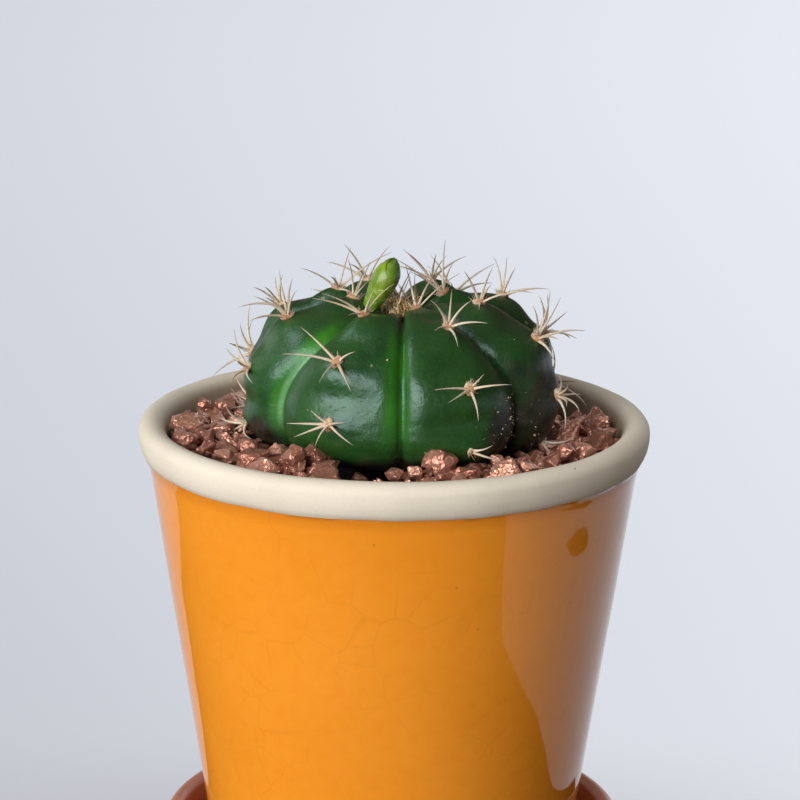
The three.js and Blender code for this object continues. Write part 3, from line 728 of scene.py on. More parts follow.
def cushionFrame(azimuth, angle):
    step = 1.5
    at = stemPoint(azimuth, angle)
    up = (stemPoint(azimuth, angle - step) - stemPoint(azimuth, angle + step)).normalized()
    right = Vector((math.cos(math.radians(azimuth)), math.sin(math.radians(azimuth)), 0))
    out = -up.cross(right).normalized()
    return {"at": at, "up": up, "right": right, "out": out}


def cactusSkin():
    material = newMaterial("cactusSkin", Specular_IOR_Level=0.5, Specular_Tint=(0.66, 0.95, 1.0),
                           Coat_Weight=0.2, Coat_Roughness=0.32, Coat_IOR=1.4,
                           Subsurface_Weight=0.12, Subsurface_Radius=(0.3, 1.0, 0.12), Subsurface_Scale=0.003)
    corkAndShadeMask = painted("corkAndShadeMask")
    skin = mottle((0.008, 0.044, 0.008), (0.022, 0.092, 0.014), 110, 4.0, 0.3, 0.72)
    skin = mottle(skin, (0.020, 0.052, 0.016), 45, 2.0, 0.45, 0.7, 0.5)
    bright = mottle((0.014, 0.130, 0.004), (0.042, 0.220, 0.010), 160, 3.0, 0.3, 0.7)
    # bright groove green: partly the young tissue's own colour, partly painted light on the grooves that face
    # the lamp
    skin = tint(painted("groove"), skin, bright)
    # painted highlight: a pale green line on a groove's left bank
    skin = tint(painted("paintedHighlight"), skin, (0.20, 0.44, 0.20))
    stomata = remap(cells(1500), 0.12, 0.25, 0.3, 0.0)
    skin = tint(stomata, skin, (0.07, 0.15, 0.05))
    blemish = remap(cells(170), 0.05, 0.085, 0.8, 0.0)
    rare = remap(cloud(90, 1.0), 0.52, 0.6)
    skin = tint(combine("MULTIPLY", blemish, rare), skin, (0.30, 0.36, 0.22))
    # dried cork colour, also laid on the stem's right side as painted shade
    corkAndShade = mottle((0.005, 0.005, 0.002), (0.036, 0.026, 0.012), 350, 4.0, 0.35, 0.65)
    edge = combine("ADD", corkAndShadeMask, remap(cloud(140, 4.0), 0.3, 0.7, -0.28, 0.28))
    skin = tint(remap(edge, 0.35, 0.75), skin, corkAndShade)
    normal = bumpFrom((cloud(120, 2.0), 0.2, 0.0015), (cloud(420, 3.0), 0.3, 0.0006),
                      (cloud(1700, 2.0), 0.3, 0.00012))
    gloss = remap(cloud(190, 3.0), 0.3, 0.7, 0.31, 0.42)
    return connect(material, Base_Color=skin, Normal=normal, Coat_Normal=normal,
                   Roughness=combine("ADD", gloss, combine("MULTIPLY", corkAndShadeMask, 0.2)))


def shapeRoot(vert, azimuth, below):
    reach = stem["rootRadius"] * (1 - below) ** 0.5 if below < 0.999 else 0
    a = math.radians(azimuth)
    cx, cy, cz = stem["centre"]
    depth = stem["rootDepth"] + (stem["rootTip"] - stem["rootDepth"]) * below ** 1.3
    vert.co = (cx + reach * math.sin(a), cy - reach * math.cos(a), cz - depth)


# how far the skin is dried cork, and on the right side also painted shade
def corkAndShadeAt(azimuth, angle):
    corkAndShade = smooth((angle - stem["corkFrom"]) / 16)
    for patch in corkAndShadePatches:
        off = ((turnTo(patch["azimuth"] - 180, azimuth) - 180) / patch["wide"],
               (angle - patch["angle"]) / patch["tall"])
        corkAndShade = max(corkAndShade, patch["darkness"] * (1 - smooth(math.hypot(*off) - 0.35)))
    return corkAndShade


def makeStem():
    bm = bmesh.new()
    count = len(ribs) * stem["perRib"]
    bmesh.ops.create_uvsphere(bm, u_segments=count, v_segments=stem["rings"], radius=1)
    grooveLayer, corkAndShadeLayer, paintedHighlightLayer = (bm.verts.layers.float.new(n) for n in ("groove", "corkAndShadeMask", "paintedHighlight"))
    glowing, paintedHighlightLine = stem["glowing"], stem["paintedHighlightLine"]
    for vert in bm.verts:
        fromTop = math.acos(max(-1, min(1, vert.co.z))) / math.pi
        turn = (math.atan2(vert.co.y, vert.co.x) / (2 * math.pi)) % 1 * len(ribs)
        turn = round(turn * stem["perRib"]) / stem["perRib"] % len(ribs)
        angle = stem["underside"] * min(1, fromTop / stem["undersideRing"])
        azimuth = azimuthAt(turn, angle)
        if fromTop > stem["undersideRing"]:
            shapeRoot(vert, azimuth, (fromTop - stem["undersideRing"]) / (1 - stem["undersideRing"]))
            vert[corkAndShadeLayer] = 1
            continue
        rib, out, groove = ribAt(azimuth, angle)
        sink = stem["crease"] * bell(1 - out, stem["creaseWidth"]) * between(angle, *stem["creased"])
        at = stemPoint(azimuth, angle)
        uneven = sum(height * roughly(at, size, seed) for height, size, seed in stem["uneven"])
        wrinkled = smooth((angle - stem["wrinkledFrom"]) / 22) * stem["wrinkle"]
        wrinkled *= roughly((at.x * 0.3, at.y * 0.3, at.z * 2.2), 2.0, 7.0)
        vert.co = stemPoint(azimuth, angle, (uneven - 0.2) * smooth(angle / 12) + wrinkled - sink)
        # bright green in the grooves: partly the young tissue's own colour, partly painted light
        leftBank = rib is groove
        deep = smooth((out - glowing["left" if leftBank else "right"]) / glowing["reach"])
        deep *= between(angle, *glowing["from"])
        vert[grooveLayer] = deep * groove.get("glow", 0.25) * clamp01(0.85 + 0.5 * roughly(at, 7, 2.0))
        # painted highlight line on the groove's left bank
        bank = bell(out - paintedHighlightLine["at"], paintedHighlightLine["width"]) * between(angle, *paintedHighlightLine["from"])
        vert[paintedHighlightLayer] = bank * groove.get("paintedHighlight", 0) if leftBank else 0
        vert[corkAndShadeLayer] = corkAndShadeAt(azimuth, angle)
    piece = finishPiece(bm, "cactus_stem", [cactusSkin()], ["cactus"])
    leaveOut(piece, "allButStem")
    studio["stemOnly"].objects.link(piece)


makeStem()
print("stem made")


# spines and their cushions

spine = {
    "radius": 0.3,
    "tip": 0.03,
    "sides": 5,
    "bands": 7,
    "flat": 0.85,  # thickness for a width of 1
    "footSwell": 0.4,
    "footLength": 1.8,
    "waver": 0.03,
    "youngUntil": 0.45,
    "youngThinner": 0.22,
    "clearOfBed": 0.8,
    "clearOfBud": 3.3,
}

ageing = {
    "youngAt": 12,
    "oldAfter": 85,
    "youngLift": 62,
    "layingBack": 42,
    "outermostLower": 12,
    "clocks": [-24, 32, -74, 82, -128, 142],
    "clockScatter": 26,
    "oneFewer": 0.35,  # share of the cushions
    "youngestLength": 7,
    "youngLength": 10.5,
    "shortening": 2.6,
    "youngBend": 2,
    "curling": 9,
}

bud = {
    "azimuth": -55,
    "fromTop": 21,
    "lean": 28,
    "sunk": 1.7,
    "height": 12.4,
    "dark": (-2.4, 0.6),  # across these the green darkens: painted shade on the bud's right side
}

gravel = {
    "bedTop": -5.2,  # from the lip's top
    "bedFoot": -11.6,
    "slope": 3.2,
    "raised": 0.27,
    "innerRadius": 29.6,
    "outerRadius": 41.5,
    "count": 96,
    "corners": 8,
    "smallest": 2.7,
    "largest": 4.6,
    "tallest": 0.95,
    "bevel": 0.07,
    "proud": 0.07,  # of a chip's face, before it is chipped
    "chipped": 0.19,
    "off": 0.3,  # from the pot's wall
    "heap": 3.4,
    "hollow": {"x": -4.2, "halfWidth": 6.4, "depth": 3.0},
}


def bedLevel(x, y):  # higher at the front, and heaped at the back on the left
    heap = gravel["heap"] * smooth((-x - 20) / 12) * smooth((y + 14) / 18)
    return rimTop + gravel["bedTop"] - gravel["slope"] * y / gravel["outerRadius"] + heap


def inHollow(x, y):  # the bare dark gap under the stem's front
    hollow = gravel["hollow"]
    return abs(x - hollow["x"]) < hollow["halfWidth"] and y < 0


def budAxis():
    lean = math.radians(bud["lean"])
    heading = Vector((math.sin(lean), 0, math.cos(lean)))
    return stemPoint(bud["azimuth"], bud["fromTop"]) - heading * bud["sunk"], heading


def spineLine(at, growth, bend):
    clock, lift, length = growth
    c = math.radians(clock)

    def heading(slope):
        s = math.radians(slope)
        flat = at["up"] * math.cos(c) * math.cos(s) + at["right"] * math.sin(c) * math.cos(s)
        return flat + at["out"] * math.sin(s)

    knee = at["at"] + heading(lift + bend) * length / 2
    return at["at"] - at["out"] * 0.4, knee, knee + heading(lift - bend) * length / 2


def usualFan(item, age):
    clocks = ageing["clocks"]
    if draw(item, 0) < ageing["oneFewer"]:
        clocks = clocks[1:]
    fan = []
    for i, clock in enumerate(clocks):
        lower = ageing["outermostLower"] * (1 - age) if abs(clock) > 100 else 0
        lift = ageing["youngLift"] - ageing["layingBack"] * age - lower
        usual = ageing["youngLength"] - ageing["shortening"] * age if age else ageing["youngestLength"]
        clock += ageing["clockScatter"] * (draw(item, 2 * i + 1) - 0.5)
        fan.append([clock, lift, usual * (0.8 + 0.4 * draw(item, 2 * i + 2))])
    return fan


def isClear(line):
    foot, knee, tip = line
    seat, heading = budAxis()
    for share in (0.25, 0.5, 0.75, 1):
        at = knee.lerp(tip, share * 2 - 1)
        along = min(bud["height"], max(0, (at - seat).dot(heading)))
        if (at - seat - heading * along).length < spine["clearOfBud"]:
            return False
    return all(p.z >= bedLevel(p.x, p.y) + spine["clearOfBed"] for p in (knee, tip))


cushions = []
for ribNumber, rib in enumerate(ribs):
    for i, angle in enumerate(rib["cushions"]):
        here = cushionFrame(rib["azimuth"], angle)
        age = clamp01((angle - ageing["youngAt"]) / ageing["oldAfter"])
        bend = ageing["youngBend"] + ageing["curling"] * age
        fan = (rib["seen"][i] if i < len(rib["seen"]) else None) or usualFan(ribNumber * 10 + i, age)
        lines = [line for line in (spineLine(here, growth, bend) for growth in fan) if isClear(line)]
        cushions.append({"frame": here, "age": age, "lines": lines})


def straightNeedle():  # one of unit size, to bend and taper for each spine
    bm = bmesh.new()
    bmesh.ops.create_cone(bm, cap_ends=True, segments=spine["sides"], radius1=1, radius2=1, depth=1)
    upright = [e for e in bm.edges if abs(e.verts[0].co.z - e.verts[1].co.z) > 0.5]
    bmesh.ops.subdivide_edges(bm, edges=upright, cuts=spine["bands"] - 1)
    mesh = bpy.data.meshes.new("straightNeedle")
    bm.to_mesh(mesh)
    bm.free()
    return mesh


def addNeedle(bm, needle, line, item, radius, layers, young=1.0):
    foot, knee, tip = line
    control = knee * 2 - (foot + tip) / 2
    length = (knee - foot).length + (tip - knee).length
    known = len(bm.verts)
    bm.from_mesh(needle)
    bm.verts.ensure_lookup_table()
    side = (tip - foot).orthogonal().normalized()
    waver = [draw(item, 31 + k) - 0.5 for k in range(4)]
    for vert in bm.verts[known:]:
        t = vert.co.z + 0.5
        middle = foot * (1 - t) ** 2 + control * 2 * t * (1 - t) + tip * t * t
        ahead = ((control - foot) * (1 - t) + (tip - control) * t).normalized()
        across = (side - ahead * side.dot(ahead)).normalized()
        third = ahead.cross(across)
        middle += (across * waver[0] + third * waver[1]) * spine["waver"] * length * math.sin(math.pi * t) * t
        swollen = 1 + spine["footSwell"] * (1 - smooth(t * length / spine["footLength"]))
        thick = (radius * swollen * (1 - t ** 1.6) + spine["tip"] * t) * (1 + 0.25 * waver[2])
        x, y = vert.co.x * thick, vert.co.y * thick * spine["flat"]
        vert.co = middle + across * x + third * y
        vert[layers[0]] = t
        vert[layers[1]] = draw(item, 41)
        vert[layers[2]] = young


def needleLayers(bm):
    return [bm.verts.layers.float.new(name) for name in ("along", "tone", "young")]


def drySpine():
    material = newMaterial("drySpine", Roughness=0.45, Subsurface_Weight=0.1, Subsurface_Scale=0.0008)
    bone = tint(painted("tone"), (0.72, 0.59, 0.44), (0.86, 0.78, 0.66))
    bone = mottle(bone, (0.50, 0.36, 0.24), 1800, 3.0, 0.4, 0.75, 0.5)
    bone = tint(remap(painted("along"), 0.2, 0.02, 0.0, 0.55), bone, (0.56, 0.30, 0.13))
    darkening = remap(painted("young"), 0.0, 1.0, 0.45, 0.92)
    tips = combine("MULTIPLY", remap(painted("along"), 0.25, 0.95), darkening)
    bone = tint(tips, bone, (0.16, 0.115, 0.095))
    return connect(material, Base_Color=bone, Normal=bumpFrom((cloud(2500, 2.0), 0.2, 0.0001)))


def makeSpines():
    bm = bmesh.new()
    layers = needleLayers(bm)
    needle = straightNeedle()
    item = 0
    for grown in cushions:
        young = 1 - smooth(grown["age"] / spine["youngUntil"])
        for line in grown["lines"]:
            item += 1
            radius = spine["radius"] * (0.9 + 0.25 * draw(item, 5)) * (1 - spine["youngThinner"] * young)
            addNeedle(bm, needle, line, item, radius, layers, young)
    finishPiece(bm, "cactus_spines", [drySpine()])


makeSpines()
print("spines made")


def feltWool():
    material = newMaterial("feltWool", Roughness=0.95, Sheen_Weight=0.4, Specular_IOR_Level=0.15)
    felt = tint(painted("tone"), (0.54, 0.32, 0.18), (0.80, 0.69, 0.55))
    felt = mottle(felt, (0.38, 0.17, 0.07), 1300, 3.0, 0.42, 0.7, 0.7)
    return connect(material, Base_Color=felt, Normal=bumpFrom((cloud(2600, 4.0), 0.7, 0.0004)))


def makeCushions():
    bm = bmesh.new()
    toneLayer = bm.verts.layers.float.new("tone")
    item = 1000
    for grown in cushions:
        here = grown["frame"]
        shrunk = 1 - cushion["oldShrinks"] * smooth((grown["age"] - 0.8) / 0.2)
        basis = Matrix((here["right"], here["up"], here["out"])).transposed()
        size = Vector((cushion["width"], cushion["length"], cushion["height"])) * shrunk
        made = bmesh.ops.create_icosphere(bm, subdivisions=2, radius=1)
        for vert in made["verts"]:
            lump = 1 + cushion["lump"] * noise.noise(vert.co * 2.3 + Vector((item, 0, 0)))
            upper = smooth((vert.co.y + 0.1) / 1.1)
            vert.co = here["at"] + basis @ Vector(a * b * lump for a, b in zip(vert.co, size))
            vert[toneLayer] = upper * (0.6 + 0.4 * draw(item, 3))
        for hair in range(cushion["hairs"]):
            item += 1
            clock, lift = 360 * draw(item, 1), 15 + 60 * draw(item, 2)
            reach = (0.55 + 0.45 * draw(item, 4)) * shrunk
            c = math.radians(clock)
            root = here["at"] + here["right"] * math.sin(c) * 0.85 * reach
            root += here["up"] * math.cos(c) * 1.2 * reach
            root += here["out"] * 0.3
            line = spineLine(dict(here, at=root), [clock, lift, 0.8 + 0.9 * draw(item, 6)], 8)
            addHair(bm, line, toneLayer, smooth(math.cos(c) + 0.6))
    finishPiece(bm, "cactus_cushions", [feltWool()])


def addHair(bm, line, toneLayer, tone):
    foot, knee, tip = line
    made = bmesh.ops.create_cone(bm, cap_ends=False, segments=3, radius1=cushion["hairRadius"],
                                 radius2=cushion["hairRadius"] * 0.3, depth=(tip - foot).length)
    turn = (tip - foot).to_track_quat("Z", "Y").to_matrix().to_4x4()
    bmesh.ops.transform(bm, matrix=Matrix.Translation((foot + tip) / 2) @ turn, verts=made["verts"])
    for vert in made["verts"]:
        vert[toneLayer] = tone


makeCushions()
print("cushions made")


# the tangle of youngest spines over the sunken crown

tangle = {
    "count": 30,
    "reach": 14,
    "radius": 0.22,
    "shortest": 4.0,
    "longest": 7.5,
    "hanging": 26,
    "hangingAt": {"azimuth": 5, "spread": 44},
    "hangingRadius": 0.16,
    "hangingBend": 22,
}


def youngSpine():
    material = newMaterial("youngSpine", Roughness=0.5)
    straw = tint(painted("tone"), (0.36, 0.20, 0.045), (0.74, 0.56, 0.26))
    straw = tint(remap(painted("along"), 0.55, 1.0, 0.0, 0.8), straw, (0.14, 0.07, 0.03))
    straw = mottle(straw, (0.70, 0.56, 0.34), 1500, 2.0, 0.4, 0.7, 0.4)
    return connect(material, Base_Color=straw)


def makeTangle():
    bm = bmesh.new()
    layers = needleLayers(bm)
    needle = straightNeedle()
    for i in range(tangle["count"]):
        item = 2000 + i
        angle = tangle["reach"] * math.sqrt((i + 0.5) / tangle["count"])
        here = cushionFrame(goldenAngle * i, max(angle, 1.6))
        length = tangle["shortest"] + (tangle["longest"] - tangle["shortest"]) * draw(item, 1)
        growth = [360 * draw(item, 2), 20 + 45 * draw(item, 3), length]
        line = spineLine(here, growth, 4 * draw(item, 4))
        if isClear(line):
            addNeedle(bm, needle, line, item, tangle["radius"], layers)
    for i in range(tangle["hanging"]):  # some hang forward into the front groove
        item = 2100 + i
        azimuth = tangle["hangingAt"]["azimuth"] + tangle["hangingAt"]["spread"] * (draw(item, 1) - 0.5)
        here = cushionFrame(azimuth, 7 + 9 * draw(item, 2))
        growth = [180 + 70 * (draw(item, 3) - 0.5), 2 + 34 * draw(item, 4), 3.5 + 3.5 * draw(item, 5)]
        line = spineLine(here, growth, tangle["hangingBend"])
        addNeedle(bm, needle, line, item, tangle["hangingRadius"], layers)
    finishPiece(bm, "crown_tangle", [youngSpine()])


makeTangle()
print("crown made")


# flower bud

def budScales():
    material = newMaterial("budScales", Roughness=0.38, Coat_Weight=0.3, Coat_Roughness=0.15,
                           Subsurface_Weight=0.25, Subsurface_Radius=(0.5, 1.0, 0.1), Subsurface_Scale=0.002)
    rise = painted("rise")
    green = mottle((0.12, 0.28, 0.010), (0.27, 0.43, 0.030), 300, 3.0, 0.3, 0.7)
    green = tint(remap(rise, 0.45, 0.1, 0.0, 0.7), green, (0.085, 0.27, 0.012))
    # painted shade: the bud's right side is painted darker green
    shaded = remap(coordinate("X"), bud["dark"][0] * mm, bud["dark"][1] * mm, 0.0, 0.85)
    green = tint(shaded, green, (0.030, 0.115, 0.006))
    green = tint(remap(rise, 0.88, 1.0, 0.0, 0.8), green, (0.06, 0.09, 0.012))
    green = tint(remap(painted("edge"), 0.72, 1.0, 0.0, 0.7), green, (0.10, 0.16, 0.02))
    return connect(material, Base_Color=green, Normal=bumpFrom((cloud(700, 2.0), 0.12, 0.0003)))


budShape = {
    # (height, radius) up the inner body
    "body": [(0, 1.1), (1.4, 1.4), (3.2, 1.65), (5.2, 1.95), (6.9, 2.35), (8.2, 2.4), (9.5, 2.15),
             (10.8, 1.5), (11.7, 0.82), (12.2, 0.34), (12.4, 0.0)],
    # rows of scales: foot height, tip height, number, first clock, half width in degrees, lift at the tip
    "rows": [
        (0.2, 3.4, 4, 20, 62, 0.30), (1.2, 4.8, 4, 65, 60, 0.34), (2.6, 6.3, 4, 15, 62, 0.36),
        (4.2, 9.6, 3, 160, 74, 0.20), (4.8, 11.9, 2, 60, 112, 0.14), (5.0, 12.35, 1, 250, 128, 0.24),
    ],
    "thickness": 0.16,
    "clear": 0.06,  # of the lowest row off the body
    "rowStep": 0.03,
}


def budRadius(height):
    points = budShape["body"]
    for (h0, r0), (h1, r1) in zip(points, points[1:]):
        if height <= h1:
            return r0 + (r1 - r0) * smooth((height - h0) / (h1 - h0)) if h1 > h0 else r1
    return 0.0


def makeBud():
    bm = bmesh.new()
    edgeLayer = bm.verts.layers.float.new("edge")
    riseLayer = bm.verts.layers.float.new("rise")
    made = bmesh.ops.create_uvsphere(bm, u_segments=40, v_segments=48, radius=1)
    for vert in made["verts"]:
        height = bud["height"] * (1 - math.acos(max(-1, min(1, vert.co.z))) / math.pi)
        flat = Vector((vert.co.x, vert.co.y, 0))
        flat = flat.normalized() * budRadius(height) if flat.length > 1e-4 else flat
        vert.co = (flat.x, flat.y, height)
        vert[riseLayer] = height / bud["height"]
        vert[edgeLayer] = 0.8
    for row, (low, high, number, first, halfWidth, lift) in enumerate(budShape["rows"]):
        for k in range(number):
            clock = first + 360 / number * k
            made = bmesh.ops.create_grid(bm, x_segments=10, y_segments=12, size=1)
            for vert in made["verts"]:
                u, v = vert.co.x, (vert.co.y + 1) / 2
                belly = 0.72 + 0.28 * math.sin(math.pi * min(1, v + 0.25))
                width = halfWidth * (1 - v ** 3.0) ** 0.6 * belly
                height = low + (high - low) * v
                a = math.radians(clock + u * max(width, 1.0))
                reach = budRadius(min(height, 12.35)) + budShape["clear"] + budShape["rowStep"] * row
                reach += lift * v ** 2 * (1 - 0.6 * u * u)
                vert[edgeLayer] = max(abs(u) ** 6, v ** 8)
                vert[riseLayer] = height / bud["height"]
                vert.co = (reach * math.sin(a), -reach * math.cos(a), height)
            faces = list({f for v in made["verts"] for f in v.link_faces})
            bmesh.ops.recalc_face_normals(bm, faces=faces)
            middle = sum((f.calc_center_median() for f in faces), Vector()) / len(faces)
            if sum(f.normal.dot(Vector((middle.x, middle.y, 0))) for f in faces) < 0:
                bmesh.ops.reverse_faces(bm, faces=faces)
            bmesh.ops.solidify(bm, geom=faces, thickness=budShape["thickness"])
    seat, heading = budAxis()
    turn = Matrix.Rotation(math.radians(bud["lean"]), 4, "Y")
    bmesh.ops.transform(bm, matrix=Matrix.Translation(seat) @ turn, verts=bm.verts)
    finishPiece(bm, "flower_bud_scales", [budScales()], ["flower_bud"], 50, turnOut=False)


makeBud()
print("bud made")


# gravel: crushed stone with a copper colour, on a dark bed

frontChips = [  # x, y, height of the middle, size, tallness
    (-32.0, -15.8, -1.6, 3.2, 0.7), (-26.4, -28.7, -1.3, 3.4, 0.8), (-22.1, -28.9, -1.8, 1.4, 1.2),
    (-18.7, -31.0, -0.6, 2.5, 1.4), (-12.4, -34.6, -2.7, 3.5, 0.5), (0.2, -36.5, -1.9, 2.0, 0.8),
    (4.0, -36.1, -1.5, 1.6, 1.2), (8.7, -30.6, -0.8, 3.4, 1.1), (8.8, -38.3, -1.8, 1.4, 0.8),
    (14.0, -35.8, -1.9, 2.2, 0.8), (17.4, -32.4, -1.9, 2.4, 0.85), (19.6, -25.8, -2.2, 1.6, 1.1),
    (22.1, -28.9, -1.6, 1.7, 1.2), (24.8, -32.6, -1.4, 2.0, 0.8), (28.1, -20.8, -1.6, 3.4, 0.65),
    (29.5, -27.3, -1.7, 2.5, 0.65), (32.6, -21.4, -1.6, 2.2, 1.0), (36.4, -20.6, -1.6, 2.0, 1.0),
    (38.6, -12.6, -1.4, 3.7, 0.65), (34.6, -2.4, -2.4, 2.6, 1.0), (40.6, 3.8, -2.2, 2.3, 0.9),
    (-37.9, 13.5, -1.8, 1.4, 1.4), (-35.1, 7.3, -2.0, 2.0, 1.3), (-32.2, 19.2, -2.2, 2.6, 1.1),
    (-31.2, 7.4, -2.2, 1.9, 0.7), (-38.8, 3.7, -2.5, 2.4, 0.75), (-37.5, -5.7, -2.0, 2.8, 0.65),
    (-39.6, -12.0, -1.9, 2.3, 1.0), (-36.1, -9.3, -2.2, 1.7, 0.9), (-31.9, -4.0, -2.6, 3.0, 0.65),
    (-35.8, -19.4, -1.8, 2.2, 0.8), (-31.9, -25.5, -1.6, 2.6, 0.7), (-30.6, -9.8, -2.2, 2.6, 0.8),
    (-41.0, -8.5, -2.2, 2.2, 0.8),
]

crumbs = {
    "count": 430,
    "smallest": 0.9,
    "largest": 2.4,
    "innerRadius": 27.5,
    "outerRadius": 43.2,
}


def sizeOf(stones, share):
    return stones["smallest"] + (stones["largest"] - stones["smallest"]) * share


def spreadOut(i, ring, late=0.0):  # evenly over the ring between the stem and the wall
    share = (i + 0.5) / ring["count"]
    radius = math.sqrt(ring["innerRadius"] ** 2 * (1 - share) + ring["outerRadius"] ** 2 * share)
    azimuth = math.radians(goldenAngle * (i + late))
    return radius * math.sin(azimuth) + stem["centre"][0] * (1 - share), -radius * math.cos(azimuth)


def chipPlaces():
    points = []
    for grown in cushions:
        points.append(grown["frame"]["at"])
        for foot, knee, tip in grown["lines"]:
            points += [knee, tip, knee.lerp(tip, 0.5)]
    inFront = []
    for x, y, height, size, tallness in frontChips:
        z = rimTop + height
        clear = z - bedLevel(x, y)
        inFront.append((x, y, z, size, tallness))
        if clear >= 0.5 * size * tallness:  # it rests on another one
            inFront.append((x, y, z - clear / 2, 1.1 * size, 0.6 * clear / size))
    chips = list(inFront)
    for i in range(gravel["count"]):
        x, y = spreadOut(i, gravel)
        size = sizeOf(gravel, draw(i, 1) ** 1.5)
        if inHollow(x, y):
            continue
        if all(math.hypot(x - o[0], y - o[1]) > 0.6 * (size + o[3]) for o in inFront):
            chips.append((x, y, bedLevel(x, y) + gravel["raised"] * size, size, 0.6 + 0.3 * draw(i, 6)))
    placed = []
    for x, y, z, size, tallness in chips:
        over = [p.z for p in points if math.hypot(x - p.x, y - p.y) < 1.3 * size + 1]
        z = min([z] + [top - 0.6 - gravel["tallest"] * size for top in over])
        if z > bedLevel(x, y) - 0.6 * size:
            placed.append((x, y, z, size, tallness))
    return placed


def chipTurn(item):
    turn = Matrix.Rotation(1.1 * (draw(item, 7) - 0.5), 3, "X")
    turn = Matrix.Rotation(1.1 * (draw(item, 8) - 0.5), 3, "Y") @ turn
    return Matrix.Rotation(2 * math.pi * draw(item, 9), 3, "Z") @ turn


def chipCorners(size, tallness, item):
    for i in range(gravel["corners"]):
        height = 1 - (2 * i + 1) / gravel["corners"]
        around = math.radians(goldenAngle * i + 360 * draw(item, 3))
        level = math.sqrt(1 - height ** 2)
        reach = size * (0.8 + 0.4 * draw(item, 10 + i))
        yield Vector((reach * (1.0 + 0.45 * draw(item, 4)) * level * math.cos(around),
                      reach * (0.75 + 0.35 * draw(item, 5)) * level * math.sin(around),
                      reach * tallness * height))


def addStone(bm, at, size, tallness, item, fine=True):
    stone = bmesh.new()
    for corner in chipCorners(size, tallness, item):
        stone.verts.new(chipTurn(item) @ corner)
    bmesh.ops.convex_hull(stone, input=stone.verts)
    reach = max(v.co.length for v in stone.verts)
    bmesh.ops.bevel(stone, geom=stone.edges, offset=gravel["bevel"] * reach, affect="EDGES",
                    segments=1, profile=0.5, material=-1, clamp_overlap=True)
    if fine:
        bmesh.ops.subdivide_edges(stone, edges=stone.edges, cuts=2, use_grid_fill=True)
        bmesh.ops.triangulate(stone, faces=stone.faces)
        bmesh.ops.smooth_vert(stone, verts=stone.verts, factor=0.2, use_axis_x=True, use_axis_y=True,
                              use_axis_z=True)
        seed = Vector((item * 1.7, 0, 0))
        for vert in stone.verts:
            away = vert.co.normalized()
            chipped = abs(noise.noise(vert.co * 0.5 + seed)) + 0.5 * abs(noise.noise(vert.co * 1.25 + seed))
            vert.co += away * reach * (gravel["proud"] - gravel["chipped"] * chipped)
    made = {}
    for vert in stone.verts:
        spot = Vector(at) + vert.co
        wall = potInside(min(0, spot.z - rimTop)) - gravel["off"]
        r = math.hypot(spot.x, spot.y)
        if r > wall:
            spot.x *= wall / r
            spot.y *= wall / r
        made[vert] = bm.verts.new(spot)
        made[vert][bm.verts.layers.float["tone"]] = draw(item, 51)
    for face in stone.faces:
        bm.faces.new([made[v] for v in face.verts])
    stone.free()


def copperStone():
    material = newMaterial("copperStone", Metallic=0.6)
    paint = tint(painted("tone"), (0.36, 0.15, 0.105), (0.72, 0.38, 0.29))
    paint = mottle(paint, (0.22, 0.09, 0.06), 420, 4.0, 0.45, 0.75, 0.5)
    normal = bumpFrom((cloud(420, 3.0), 0.6, 0.0008), (cells(1250), 0.55, 0.0003),
                      (cloud(2300, 3.0), 0.4, 0.00015))
    return connect(material, Base_Color=paint, Normal=normal,
                   Roughness=remap(cloud(700, 3.0), 0.3, 0.7, 0.26, 0.44))


def makeGravel():
    bm = bmesh.new()
    bm.verts.layers.float.new("tone")
    for item, (x, y, z, size, tallness) in enumerate(chipPlaces()):
        addStone(bm, (x, y, z), size, tallness, item)
    finishPiece(bm, "gravel_chips", [copperStone()], ["gravel"], 20)


def makeCrumbs():
    bm = bmesh.new()
    bm.verts.layers.float.new("tone")
    for i in range(crumbs["count"]):
        item = 500 + i
        x, y = spreadOut(i, crumbs, 0.5)
        size = sizeOf(crumbs, draw(item, 1) ** 1.4)
        low = gravel["hollow"]["depth"] if inHollow(x, y) else 0.4
        z = bedLevel(x, y) - low + (0.4 * draw(item, 2) - 0.2) * size
        addStone(bm, (x, y, z), size, 0.8, item, fine=False)
    finishPiece(bm, "gravel_crumbs", [copperStone()], (), 28)


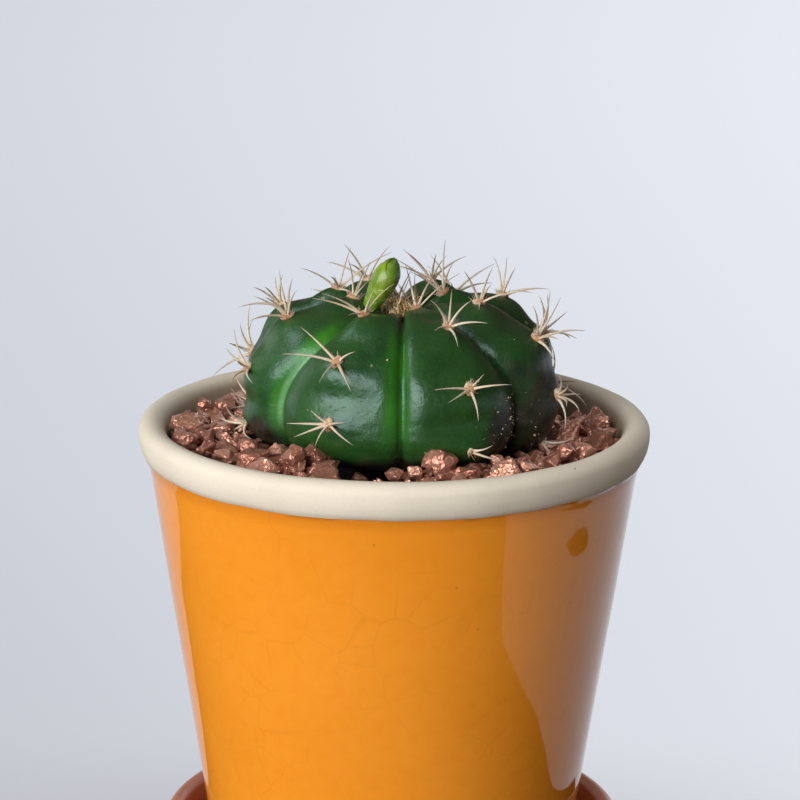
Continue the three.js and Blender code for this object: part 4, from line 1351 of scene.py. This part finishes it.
def makeBed():
    bm = bmesh.new()
    top, low, off, hollow = (gravel[k] for k in ("bedTop", "bedFoot", "off", "hollow"))
    turnOutline(bm, [(12, low), (potInside(-12) - off, low), (potInside(top) - off - 0.2, top - 1.0),
                     (40, top - 0.9), (36, top - 0.8), (32, top - 0.8), (28, top - 0.9), (24, top - 1.2),
                     (18, top - 4), (12, low)], 120)
    for vert in bm.verts:
        x, y, z = vert.co
        if z > -11:
            level = 0.5 * roughly(vert.co, 2.6) + bedLevel(x, y) - rimTop - top
            vert.co.z += level
            if y < 0:
                vert.co.z -= hollow["depth"] * smooth((hollow["halfWidth"] + 2 - abs(x - hollow["x"])) / 4)
        vert.co.z += rimTop
    finishPiece(bm, "gravel_bed", [pottingSoil()])


makeGravel()
makeCrumbs()
makeBed()
print("gravel made")


# specks of grit that stick to the stem low on its right

grit = {
    "count": 150,
    "smallest": 0.05,
    "largest": 0.24,
    "sunk": 0.1,
    "patch": {"azimuth": 44, "halfWidth": 20, "top": 78, "tall": 26},  # three in four lie here
    "elsewhere": {"top": 55, "tall": 45},
}


def paleGrit():
    material = newMaterial("paleGrit", Roughness=0.8)
    shade = tint(cloud(900, 2.0), (0.36, 0.26, 0.15), (0.72, 0.66, 0.52))
    return connect(material, Base_Color=shade)


def makeGrit():
    bm = bmesh.new()
    for i in range(grit["count"]):
        item = 3000 + i
        inPatch = i % 4
        area = grit["patch" if inPatch else "elsewhere"]
        azimuth = 360 * draw(item, 3)
        if inPatch:
            azimuth = area["azimuth"] + area["halfWidth"] * (draw(item, 1) + draw(item, 2) - 1)
        size = sizeOf(grit, draw(item, 5) ** (4 if inPatch else 9))
        at = stemPoint(azimuth, area["top"] + area["tall"] * draw(item, 4), -grit["sunk"])
        made = bmesh.ops.create_icosphere(bm, subdivisions=1, radius=size)
        for vert in made["verts"]:
            vert.co = at + vert.co * (0.7 + 0.6 * draw(item, 10 + vert.index % 7))
    finishPiece(bm, "stem_grit", [paleGrit()])


makeGrit()
print("grit made")
